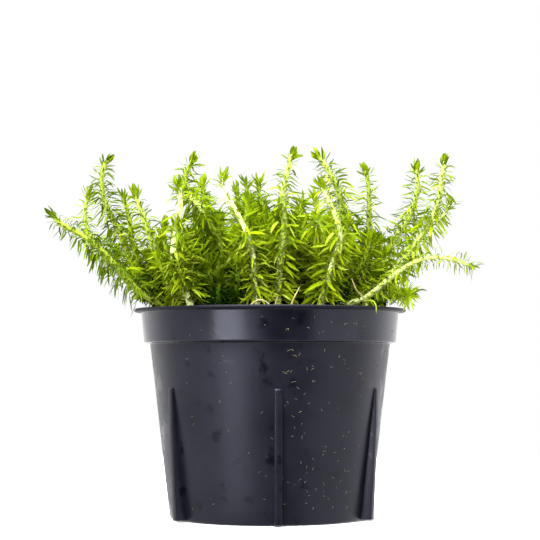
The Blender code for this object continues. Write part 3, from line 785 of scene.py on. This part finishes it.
def crumbs(rng, count):
    """Rough grains, each a squashed and turned copy of a small ball."""
    bm = bmesh.new()
    bmesh.ops.create_icosphere(bm, subdivisions=1, radius=MM)
    ball, faces = shape_of(bm)
    size = rng.uniform(*CRUMB_RADII, (count, 1, 1)) * rng.uniform(*CRUMB_ROUGH, (count, len(ball), 1))
    squash = rng.uniform(*CRUMB_SQUASH, (count, 3))
    grains = ball[None] * size * squash[:, None]
    turn = rng.uniform(0.0, math.tau, count)
    x = grains[..., 0] * np.cos(turn)[:, None] - grains[..., 1] * np.sin(turn)[:, None]
    y = grains[..., 0] * np.sin(turn)[:, None] + grains[..., 1] * np.cos(turn)[:, None]
    grains = np.stack([x, y, grains[..., 2]], axis=-1)
    return grains + on_peat(rng, count)[:, None] + (0.0, 0.0, CRUMB_LIFT), faces


def add_litter(growth, rng):
    """Fallen leaves in a loose layer on the peat, which keeps clear of the wall."""
    starts = on_peat(rng, LITTER)
    starts[:, 2] += LITTER_LIFT + LITTER_DEPTH * rng.random(LITTER) ** LITTER_PACKED
    heading = rng.uniform(0.0, math.tau, LITTER)
    lengths = rng.uniform(*LITTER_LENGTHS, LITTER)
    cuts = LEAF_CUTS[None, :] * lengths[:, None]
    bend = heading[:, None] + rng.normal(0.0, LITTER_BEND, LITTER)[:, None] * cuts
    rise = rng.normal(0.0, LITTER_BEND, LITTER)[:, None] * cuts
    centers = starts[:, None] + np.stack([np.cos(bend) * cuts, np.sin(bend) * cuts, rise], axis=-1)
    across = np.stack([-np.sin(bend), np.cos(bend), np.zeros_like(bend)], axis=-1)
    upper = np.broadcast_to(tuple(UP), across.shape)
    keep = (np.hypot(centers[..., 0], centers[..., 1]) < SOIL_RADIUS - LITTER_CLEAR).all(axis=1)
    wide = LITTER_HALF_WIDTH * LEAF_WIDTHS[None, :] * rng.uniform(*LITTER_WIDTHS, LITTER)[:, None]
    tone = np.column_stack([rng.random(LITTER), np.zeros(LITTER)])
    growth.lay(centers, across, upper, wide, tone, LITTER_SLOT, keep)


def add_peat():
    rng = np.random.default_rng(PEAT_SEED)
    growth = Growth()
    body, faces = peat_body()
    growth.add(body[None], faces, np.full((len(body), 2), 0.5), np.array([(0.3, 0.0)]), PEAT_SLOT)
    grains, faces = crumbs(rng, CRUMBS)
    tone = np.column_stack([rng.random(CRUMBS), np.zeros(CRUMBS)])
    growth.add(grains, faces, np.full((grains.shape[1], 2), 0.5), tone, PEAT_SLOT)
    for start in on_peat(rng, ROOTLETS):
        heading = rng.uniform(0.0, math.tau)
        bends = heading + np.cumsum(rng.normal(0.0, ROOTLET_TURN, ROOTLET_STEPS))
        rises = rng.normal(0.0, ROOTLET_RISE, ROOTLET_STEPS)
        steps = np.column_stack([np.cos(bends), np.sin(bends), rises]) * rng.uniform(*ROOTLET_LENGTHS)
        line = smooth_line([Vector(start) + Vector(step) for step in np.cumsum(steps, axis=0)])
        if np.hypot(line[:, 0], line[:, 1]).max() < SOIL_RADIUS - ROOTLET_CLEAR:
            line[:, 2] += ROOTLET_LIFT
            grow_stem(growth, line, np.full(len(line), ROOTLET_RADIUS), (0.9, 0.0), PEAT_SLOT)
    add_litter(growth, rng)
    peat = growth.build("peat", [peat_material(), litter_material()], PEAT_SHARP)
    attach(peat, "root")
    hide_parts("soil")


# Stems and leaves


def placed(x, z, depth):
    """The point at a depth that the camera sees at x and z of the pot's axis."""
    scale = (EYE_DISTANCE + depth) / EYE_DISTANCE
    return Vector((x * scale, depth, EYE_HEIGHT + (z - EYE_HEIGHT) * scale))


def smooth_line(points, spacing=STEP):
    """An even, rounded line through the points, as an array."""
    points = [Vector(point) for point in points]
    fine = []
    padded = [points[0] * 2 - points[1], *points, points[-1] * 2 - points[-2]]
    for before, start, stop, after in zip(padded, padded[1:], padded[2:], padded[3:]):
        lead = start + (stop - before) / 6
        trail = stop - (after - start) / 6
        fine += interpolate_bezier(start, lead, trail, stop, 13)[:-1]
    fine = np.array([tuple(point) for point in [*fine, points[-1]]])
    passed = np.concatenate([[0.0], np.cumsum(np.linalg.norm(np.diff(fine, axis=0), axis=1))])
    stations = np.linspace(0.0, passed[-1], max(2, round(passed[-1] / spacing)) + 1)
    return np.stack([np.interp(stations, passed, values) for values in fine.T], axis=1)


def rooted(points):
    root = points[0].copy()
    root.z = dome_height(root.x * root.x + root.y * root.y) + 2 * GAP
    return [root, root + NECK * UP, *points[1:]]


def placed_route(near, far, drawn):
    """A drawn route that goes evenly from one depth to another."""
    last = len(drawn) - 1
    return [placed(x, z, near + (far - near) * i / last) for i, (x, z) in enumerate(drawn)]


def traced_routes():
    return [(name, rooted(placed_route(near, far, drawn))) for name, near, far, drawn in TRACED]


def least_distance(points, others):
    gaps = points[:, None, :] - others[None, :, :]
    return float(np.sqrt((gaps**2).sum(axis=2)).min())


def clear_of_lip(line):
    outside = np.hypot(line[:, 0], line[:, 1]) > SOIL_RADIUS - LIP_REACH
    return bool((line[outside, 2] > POT_HEIGHT + LIP_CLEAR).all())


def filler_route(rng, root_x, root_y):
    """A shoot that leans outwards and ends a little under the canopy."""
    lean = rng.uniform(*FILL_LEANS)
    aside = rng.uniform(-FILL_ASIDE, FILL_ASIDE)
    tip_x = root_x * (1 + lean) + rng.uniform(-FILL_SCATTER, FILL_SCATTER)
    tip_y = root_y * (1 + lean) + aside
    ceiling = CANOPY - CANOPY_FALL * tip_x**2 - FRONT_FALL * max(0.0, -tip_y)
    tip_z = max(FILL_LEAST, ceiling - rng.uniform(0.0, CANOPY_UNEVEN))
    root = Vector((root_x, root_y, ROOT_HEIGHT))
    tip = Vector((tip_x, tip_y, tip_z))
    sideways = Vector((rng.uniform(-FILL_BEND, FILL_BEND), rng.uniform(-FILL_BEND, FILL_BEND), -FILL_BEND))
    return rooted([root, root.lerp(tip, 0.5) + sideways, tip])


def straw_lines():
    return [smooth_line(drawn, COARSE_STEP) for _, _, drawn in STRAWS]


def filler_routes(taken):
    rng = random.Random(FILL_SEED)
    known = np.concatenate([smooth_line(points, COARSE_STEP) for _, points in taken] + straw_lines())
    roots = np.array([points[0] for _, points in taken])
    routes = []
    for site in range(FILL_SITES):
        angle = site * GOLDEN
        radius = FILL_ROOT_RADIUS * math.sqrt((site + 0.5) / FILL_SITES)
        x, y = radius * math.cos(angle), radius * math.sin(angle)
        if np.hypot(roots[:, 0] - x, roots[:, 1] - y).min() < ROOT_CLEAR:
            continue
        for _ in range(FILL_TRIES):
            points = filler_route(rng, x, y)
            line = smooth_line(points, COARSE_STEP)
            if clear_of_lip(line) and least_distance(line, known) > FILL_CLEAR:
                routes.append((f"filler_{len(routes) + 1:02d}", points))
                known = np.concatenate([known, line])
                roots = np.concatenate([roots, line[:1]])
                break
        if len(routes) == FILL_MOST:
            break
    return routes


def carried_frames(line):
    """Unit tangents of a line, and two side directions carried along it without twist."""
    tangents = unit(np.gradient(line, axis=0))
    start = np.cross(tangents[0], (0.0, 1.0, 0.0))
    sides = [start / np.linalg.norm(start)]
    for tangent in tangents[1:]:
        side = sides[-1] - tangent * sides[-1].dot(tangent)
        sides.append(side / np.linalg.norm(side))
    sides = np.array(sides)
    return tangents, sides, np.cross(tangents, sides)


def grow_stem(growth, line, radii, tone, slot, stride=round(STEM_CUT / STEP)):
    """A round stem through every few points of a line, closed to a point at its tip."""
    picked = list(range(0, len(line) - 1, stride)) + [len(line) - 1]
    cuts = np.linspace(0.0, 1.0, len(picked))
    _, sides, others = (part[picked] for part in carried_frames(line))
    widths = radii[picked].copy()
    widths[-1] = 0.0
    growth.sweep(strand_template(STEM_SIDES, cuts), line[picked][None], sides[None], others[None],
                 widths[None], widths[None], 0.0, np.array([tone]), slot)


def clear_of_pot(points):
    """Which points are clear of the peat, the wall and the lip. The points are an array of (..., 3)."""
    radius = np.hypot(points[..., 0], points[..., 1])
    least = np.where(radius > SOIL_RADIUS - RIM_CLEAR, POT_HEIGHT + LEAF_OVER_LIP,
                     dome_height(radius**2) + LEAF_OVER_PEAT)
    return (points[..., 2] > least) | (radius > LIP_RADIUS + LEAF_PAST_LIP)


def leaf_stations(reach, habit, first):
    """Where the leaves sit up a stem: sparser towards its top, denser in the bud and at a shoot's foot."""
    fine = np.arange(first, max(first, reach - LAST_LEAF), FINE_STEP)
    upper = faded(reach - fine, SPARSE_REACH)
    foot = faded(fine, FOOT_REACH) * (first < BRANCH_FIRST_LEAF)
    rate = LEAF_CROWD * habit.density * (1.0 - TIP_SPARSE * upper + FOOT_DENSE * foot)
    rate = np.where(reach - fine < BUD_LENGTH, BUD_DENSITY, rate)
    passed = np.cumsum(rate) * FINE_STEP
    return np.interp(np.arange(0.5, passed[-1]), passed, fine)


def grow_leaves(growth, line, radii, habit, rng, first):
    """Leaves in a golden spiral up a stem. They clasp it, spread and hook over, and close round each other
    in the bud. What differs from leaf to leaf is a column."""
    reach = (len(line) - 1) * STEP
    stations = leaf_stations(reach, habit, first)
    below = reach - stations
    shed = (below > habit.bare) & (below < habit.bare + BARE_REACH) & (rng.random(len(below)) < habit.shed)
    below = below[~shed, None]
    each = below.shape
    picked = np.clip(np.round(stations[~shed] / STEP).astype(int), 0, len(line) - 1)
    along, sides, others = (part[picked] for part in carried_frames(line))
    angle = np.arange(len(below))[:, None] * GOLDEN + rng.normal(0.0, SPIRAL_SCATTER, each)
    outward = sides * np.cos(angle) + others * np.sin(angle)
    across = np.cross(along, outward)
    bud = faded(below, BUD_LENGTH)
    spread = 1.0 - bud
    shut = habit.closed * bud
    near_tip = faded(below, SHORT_REACH)
    rise = habit.rise - LEAF_FALL * (1.0 - near_tip) + rng.normal(0.0, TILT_SCATTER, each)
    tilt = np.radians(rise) * spread + np.radians(BUD_TILT + BUD_TILT_CLOSED * habit.closed) * bud**0.5
    heading = outward * np.cos(tilt) + along * np.sin(tilt)
    bud_leaf = BUD_LEAF * (BUD_LEAF_OPEN + (1.0 - BUD_LEAF_OPEN) * habit.closed)
    lengths = (habit.long + (habit.short - habit.long) * near_tip) * spread
    lengths = (lengths + bud_leaf * bud) * rng.uniform(*LEAF_UNEVEN, each)
    widths = LEAF_HALF_WIDTH * lengths / LEAF_PLAIN_LENGTH * np.exp(rng.normal(0.0, WIDTH_SCATTER, each))
    pull = along * (rng.normal(HOOK_RISE, HOOK_SCATTER, each) * spread + shut)
    pull -= outward * (BUD_HOOK * shut - HOOK_OUT * spread)
    pull += across * (rng.normal(0.0, HOOK_SCATTER, each) * spread)
    pull[:, 2:] -= habit.droop * rng.uniform(*DROOP_UNEVEN, each) * (1.0 - shut)
    clasp = along * (CLASP * spread)

    def going(cuts):
        clasped = clasp[:, None] * faded(cuts, CLASP_END)[:, None]
        return unit(heading[:, None] + clasped + pull[:, None] * (HOOK * cuts**2)[:, None])

    feet = line[picked] + outward * (radii[picked] * LEAF_ROOT)[:, None]
    steps = going((LEAF_CUTS[1:] + LEAF_CUTS[:-1]) / 2) * (np.diff(LEAF_CUTS) * lengths)[..., None]
    centers = np.concatenate([feet[:, None], feet[:, None] + np.cumsum(steps, axis=1)], axis=1)
    facing = going(LEAF_CUTS)
    flat = unit(across[:, None] - facing * (across[:, None] * facing).sum(axis=-1, keepdims=True))
    upper = np.cross(facing, flat)
    roll = rng.normal(0.0, 1.0, each) * np.clip((LEAF_CUTS - ROLL_START) / ROLL_REACH, 0.0, 1.0)
    roll = (roll * (1.0 - BUD_STEADY * bud))[..., None]
    turned = flat * np.cos(roll) + upper * np.sin(roll)
    upper = upper * np.cos(roll) - flat * np.sin(roll)
    keep = clear_of_pot(centers).all(axis=1)
    full = LEAF_WIDTHS + (BUD_WIDTHS - LEAF_WIDTHS) * habit.closed
    wide = widths * (LEAF_WIDTHS * spread + full * bud)
    shade = rng.normal(habit.glow, GLOW_SCATTER, each) * (1.0 - BUD_DIM * bud)
    shade = np.clip(np.where(rng.random(each) < DARK_LEAVES, shade * DARK_GLOW, shade), 0.0, 1.0)
    tone = np.hstack([shade, habit.pale * spread])
    growth.lay(centers, turned, upper, wide, tone, LEAF_SLOT, keep)


def stem_radii(line, thick, thin):
    share = np.linspace(0.0, 1.0, len(line))
    return thick + (thin - thick) * np.clip((share - STEM_EVEN) / (1.0 - STEM_EVEN), 0.0, 1.0)


def grow_axis(growth, line, habit, scale, rng, first):
    """A stem and its leaves. The stem ends inside the bud."""
    short = TIP_OPEN + (TIP_CLOSED - TIP_OPEN) * habit.closed
    line = line[:len(line) - round(short / STEP)]
    scale *= habit.thick
    tip_radius = STEM_TIP_RADIUS * scale * (TIP_SLIM + (1.0 - TIP_SLIM) * habit.closed)
    radii = stem_radii(line, STEM_RADIUS * scale, tip_radius)
    grow_stem(growth, line, radii, (habit.pale, 0.5), STEM_SLOT)
    grow_leaves(growth, line, radii, habit, rng, first)


def branch_line(line, at, rng, length):
    """A side branch that leaves the stem sideways and turns up."""
    start = Vector(line[at])
    tangent = Vector(line[min(at + 1, len(line) - 1)] - line[at - 1]).normalized()
    angle = rng.uniform(-BRANCH_BACK, math.pi + BRANCH_BACK)
    aside = Vector((math.cos(angle), math.sin(angle), 0.0))
    aside = (aside - tangent * aside.dot(tangent)).normalized()
    out = (aside * BRANCH_OUT[0] + tangent * BRANCH_OUT[1]).normalized() * length * BRANCH_ELBOW
    up = (aside * BRANCH_UP[0] + UP * BRANCH_UP[1]).normalized() * length * (1.0 - BRANCH_ELBOW)
    return smooth_line([start, start + out, start + out + up])


def grow_branches(growth, line, count, lengths, rng):
    low, high = BRANCH_HEIGHTS
    sites = np.nonzero((line[:, 2] > low) & (line[:, 2] < high))[0]
    for _ in range(count if len(sites) else 0):
        at = int(rng.choice(sites))
        branch = branch_line(line, at, rng, rng.uniform(*lengths))
        tip_x, _, tip_z = branch[-1]
        if clear_of_pot(branch).all() and tip_z < BRANCH_CEILING - BRANCH_CEILING_FALL * tip_x**2:
            grow_axis(growth, branch, BRANCH_HABIT, BRANCH_SCALE, rng, BRANCH_FIRST_LEAF)


def add_shoot(name, points, materials, rng):
    growth = Growth()
    line = smooth_line(points)
    plain = PLAIN_HABIT._replace(glow=rng.uniform(*PLAIN_GLOWS))
    grow_axis(growth, line, HABITS.get(name, plain), 1.0, rng, FIRST_LEAF)
    if name not in UNBRANCHED:
        central = math.hypot(line[0, 0], line[0, 1]) < CENTRE_RADIUS
        grow_branches(growth, line, *(CENTRE_BRANCHES if central else OUTER_BRANCHES), rng)
    for owner, near, far, drawn, habit in SIDE_SHOOTS:
        if owner == name:
            points = placed_route(near, far, drawn)
            root = line[np.linalg.norm(line - np.array(points[0]), axis=1).argmin()]
            side = smooth_line([root, *points[1:]])
            grow_axis(growth, side, habit, SIDE_SCALE, rng, SIDE_FIRST_LEAF)
    shoot = growth.build(f"leafy_{name}", materials)
    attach(shoot, "root")
    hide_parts(f"shoot_{name}")


def add_shoots():
    materials = [leaf_material(), stem_material()]
    routes = traced_routes()
    routes += filler_routes(routes)
    for index, (name, points) in enumerate(routes):
        add_shoot(name, points, materials, np.random.default_rng(SHOOT_SEED + index))


def add_straws():
    straw = flecked_material("dry straw", 0.6, 500.0, (0.24, 0.20, 0.07), (0.52, 0.48, 0.20))
    green = bpy.data.materials["pale stem"]
    for name, radius, drawn in STRAWS:
        growth = Growth()
        line = smooth_line(drawn)
        radii = stem_radii(line, *(radius * share for share in STRAW_TAPER))
        grow_stem(growth, line, radii, (0.5, 0.5), 0)
        piece = growth.build(f"dry_{name}", [green if name == "leaf_over_lip" else straw])
        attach(piece, "root")
        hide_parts(name)


# Materials


def node(tree, kind, inputs=None, **settings):
    """A shader node with its settings, values and incoming links."""
    made = tree.nodes.new(kind)
    for key, value in settings.items():
        setattr(made, key, value)
    for key, value in (inputs or {}).items():
        if isinstance(value, bpy.types.NodeSocket):
            tree.links.new(value, made.inputs[key])
        else:
            made.inputs[key].default_value = value
    return made


def coordinates(tree, kind="Object"):
    """The X, Y and Z of each place."""
    place = node(tree, "ShaderNodeTexCoord").outputs[kind]
    return node(tree, "ShaderNodeSeparateXYZ", {0: place}).outputs


def reckoned(tree, operation, *values):
    """The result of one Math node."""
    return node(tree, "ShaderNodeMath", dict(enumerate(values)), operation=operation).outputs[0]


def feed(shader, key, source):
    """Links a value to one of a shader's sockets."""
    shader.id_data.links.new(source, shader.inputs[key])


def new_material(name, roughness, specular=0.5):
    """A material with its Principled shader and output."""
    made = bpy.data.materials.new(name)
    made.use_nodes = True
    tree = made.node_tree
    tree.nodes.clear()
    values = {"Roughness": roughness, "Specular IOR Level": specular}
    shader = node(tree, "ShaderNodeBsdfPrincipled", values)
    node(tree, "ShaderNodeOutputMaterial", {"Surface": shader.outputs[0]})
    return made, tree, shader


def ramp(tree, factor, stops):
    """A colour ramp of (position, colour) stops."""
    made = node(tree, "ShaderNodeValToRGB", {"Fac": factor})
    elements = made.color_ramp.elements
    while len(elements) < len(stops):
        elements.new(0.5)
    for element, (position, colour) in zip(elements, stops):
        element.position = position
        element.color = (*colour, 1.0)
    return made.outputs["Color"]


def mixed(tree, factor, first, second, blend="MIX"):
    made = node(tree, "ShaderNodeMix", data_type="RGBA", blend_type=blend)
    for socket, value in ((made.inputs["Factor"], factor), (made.inputs[6], first), (made.inputs[7], second)):
        if isinstance(value, bpy.types.NodeSocket):
            tree.links.new(value, socket)
        elif isinstance(value, tuple):
            socket.default_value = (*value, 1.0)
        else:
            socket.default_value = value
    return made.outputs[2]


def ranged(tree, value, low, high, to_low=0.0, to_high=1.0):
    made = node(tree, "ShaderNodeMapRange", {"Value": value, "From Min": low, "From Max": high,
                                             "To Min": to_low, "To Max": to_high})
    made.interpolation_type = "SMOOTHSTEP"
    return made.outputs["Result"]


def on_surface(tree, share, first, second):
    """Puts a mix of two shaders on a material's surface."""
    mix = node(tree, "ShaderNodeMixShader", {0: share, 1: first.outputs[0], 2: second.outputs[0]})
    out = next(item for item in tree.nodes if item.type == "OUTPUT_MATERIAL")
    feed(out, "Surface", mix.outputs[0])


def bumped(tree, shader, height, strength, distance):
    bump = node(tree, "ShaderNodeBump", {"Height": height, "Strength": strength, "Distance": distance})
    feed(shader, "Normal", bump.outputs["Normal"])


def grain_group():
    """Fine clouds through the whole piece, from 0 to 1."""
    group = bpy.data.node_groups.new("grain", "ShaderNodeTree")
    scale = group.interface.new_socket("Scale", in_out="INPUT", socket_type="NodeSocketFloat")
    scale.default_value = 400.0
    group.interface.new_socket("Value", in_out="OUTPUT", socket_type="NodeSocketFloat")
    given = node(group, "NodeGroupInput")
    place = node(group, "ShaderNodeTexCoord").outputs["Object"]
    settings = {"Vector": place, "Scale": given.outputs["Scale"], "Detail": 4.0}
    cloud = node(group, "ShaderNodeTexNoise", settings)
    node(group, "NodeGroupOutput", {"Value": cloud.outputs["Fac"]})
    return group


def grained(tree, scale):
    group = bpy.data.node_groups.get("grain") or grain_group()
    made = node(tree, "ShaderNodeGroup", node_tree=group)
    made.inputs["Scale"].default_value = scale
    return made.outputs["Value"]


def floor_material():
    """Pale to the eye, and clear to the light that the plant and the pot get from the tent below it."""
    made, tree, shader = new_material("pale floor", 0.9)
    colour = mixed(tree, grained(tree, 3.0), (0.93, 0.93, 0.93), (0.95, 0.95, 0.95))
    feed(shader, "Base Color", colour)
    to_camera = node(tree, "ShaderNodeLightPath").outputs["Is Camera Ray"]
    on_surface(tree, to_camera, node(tree, "ShaderNodeBsdfTransparent"), shader)
    return made


def plastic_material(name, gloss):
    """Satin slate black: rougher below the step and on the lip, and smooth and darker in damp patches."""
    made, tree, shader = new_material(name, 0.32, gloss)
    shader.inputs["Specular Tint"].default_value = (0.80, 0.82, 1.0, 1.0)
    cloud = grained(tree, 60.0)
    damp = ranged(tree, grained(tree, 130.0), 0.54, 0.70)
    colour = ramp(tree, cloud, ((0.3, (0.003, 0.003, 0.006)), (0.7, (0.007, 0.007, 0.012))))
    colour = mixed(tree, damp, colour, (0.002, 0.002, 0.004))
    feed(shader, "Base Color", colour)
    _, _, height = coordinates(tree)
    lip_low = POT_HEIGHT - LIP_THICKNESS
    band = ranged(tree, height, STEP_HEIGHT * MM - 0.001, STEP_HEIGHT * MM, 0.15, 0.0)
    lip = ranged(tree, height, (lip_low - 0.4) * MM, (lip_low + 0.1) * MM)
    rough = reckoned(tree, "ADD", ranged(tree, cloud, 0.3, 0.7, 0.18, 0.26), band)
    rough = reckoned(tree, "MULTIPLY", rough, reckoned(tree, "MULTIPLY_ADD", damp, -0.5, 1.0))
    rough = reckoned(tree, "MULTIPLY_ADD", lip, 0.25, rough)
    feed(shader, "Roughness", rough)
    bumped(tree, shader, grained(tree, 900.0), 0.14, 0.0002)
    return made


def flecked_material(name, roughness, scale, dark, pale):
    made, tree, shader = new_material(name, roughness)
    colour = ramp(tree, grained(tree, scale), ((0.3, dark), (0.7, pale)))
    feed(shader, "Base Color", colour)
    return made


def peat_material():
    made, tree, shader = new_material("wet peat", 0.85)
    grain = grained(tree, 420.0)
    colour = ramp(tree, grain, ((0.3, (0.004, 0.003, 0.002)), (0.55, (0.02, 0.012, 0.006)),
                                (0.8, (0.08, 0.05, 0.025))))
    feed(shader, "Base Color", colour)
    bumped(tree, shader, grain, 0.6, 0.0006)
    return made


def litter_material():
    made, tree, shader = new_material("fallen leaf", 0.7)
    shade, _ = mapped(tree, "tone")
    colour = ramp(tree, shade, ((0.0, (0.008, 0.006, 0.003)), (0.5, (0.03, 0.022, 0.006)),
                                (0.8, (0.07, 0.075, 0.010)), (1.0, (0.26, 0.20, 0.035))))
    feed(shader, "Base Color", colour)
    return made


def mapped(tree, name):
    """The two numbers of one of the piece's own maps."""
    place = node(tree, "ShaderNodeUVMap", uv_map=name)
    split = node(tree, "ShaderNodeSeparateXYZ", {0: place.outputs[0]})
    return split.outputs["X"], split.outputs["Y"]


def see_through(tree, shader, colour, share):
    """Light that comes through from behind, as one share of the surface."""
    on_surface(tree, share, shader, node(tree, "ShaderNodeBsdfTranslucent", {"Color": colour}))


def aged_and_shaded(tree, colour, dark, pale, kept):
    """The colour, multiplied by the dark one low down in the middle of the clump: partly older leaves and
    stems, partly painted shade. The palest shoots, in front there, keep a share of their own colour,
    unshaded."""
    x, y, z = coordinates(tree)
    flat = node(tree, "ShaderNodeCombineXYZ", {"X": x, "Y": y})
    radius = node(tree, "ShaderNodeVectorMath", {0: flat.outputs[0]}, operation="LENGTH").outputs["Value"]
    high = ranged(tree, z, (POT_HEIGHT + 3) * MM, OLD_AND_SHADED_HEIGHT * MM)
    outside = ranged(tree, radius, OLD_AND_SHADED_RADIUS * MM, (OLD_AND_SHADED_RADIUS + OLD_AND_SHADED_FADE) * MM)
    # The palest shoots in front keep a share of their colour, out of the painted shade
    fresh = ranged(tree, pale, 0.6, 0.85, 0.0, kept)
    young_and_lit = reckoned(tree, "MAXIMUM", reckoned(tree, "MAXIMUM", high, outside), fresh)
    return mixed(tree, young_and_lit, mixed(tree, 1.0, colour, dark, "MULTIPLY"), colour)


def leaf_material():
    made, tree, shader = new_material("fresh green leaf", 0.6, 0.03)
    across, along = mapped(tree, "blade")
    shade, pale = mapped(tree, "tone")
    colour = ramp(tree, shade, ((0.0, (0.06, 0.13, 0.0)), (0.35, (0.21, 0.33, 0.0)),
                                (0.7, (0.42, 0.55, 0.003)), (1.0, (0.54, 0.64, 0.07))))
    off_middle = reckoned(tree, "ABSOLUTE", reckoned(tree, "SUBTRACT", across, 0.5))
    midrib = ranged(tree, off_middle, 0.04, 0.16, 0.25, 0.0)
    colour = mixed(tree, midrib, colour, (0.64, 0.74, 0.06))
    foot = ranged(tree, along, 0.5, 0.1)
    foot_colour = mixed(tree, ranged(tree, pale, 0.55, 0.95), (0.32, 0.44, 0.01), (0.60, 0.69, 0.17))
    colour = mixed(tree, foot, colour, foot_colour)
    # Darker low in the middle of the clump: partly older leaves, partly painted shade
    colour = aged_and_shaded(tree, colour, (0.03, 0.065, 0.018), pale, 0.75)
    feed(shader, "Base Color", colour)
    lit = mixed(tree, 1.0, colour, (1.05, 1.05, 0.9), "MULTIPLY")
    see_through(tree, shader, lit, 0.42)
    return made


def stem_material():
    made, tree, shader = new_material("pale stem", 0.45, 0.18)
    pale, _ = mapped(tree, "tone")
    grain = grained(tree, 300.0)
    colour = ramp(tree, pale, ((0.0, (0.24, 0.36, 0.006)), (0.6, (0.37, 0.48, 0.02)),
                               (0.78, (0.46, 0.57, 0.06)), (0.88, (0.64, 0.74, 0.20)),
                               (1.0, (0.84, 0.87, 0.44))))
    scars = ranged(tree, grain, 0.35, 0.65)
    colour = mixed(tree, scars, mixed(tree, 1.0, colour, (0.93, 0.98, 0.84), "MULTIPLY"), colour)
    # Darker low in the middle of the clump: partly older stems, partly painted shade
    colour = aged_and_shaded(tree, colour, (0.12, 0.20, 0.05), pale, 1.0)
    feed(shader, "Base Color", colour)
    see_through(tree, shader, colour, 0.2)
    return made


def main():
    add_camera()
    add_world()
    add_floor()
    for softbox in SOFTBOXES:
        add_softbox(*softbox)
    bpy.context.scene.view_settings.view_transform = "Standard"
    add_pot()
    add_peat()
    add_shoots()
    add_straws()


main()
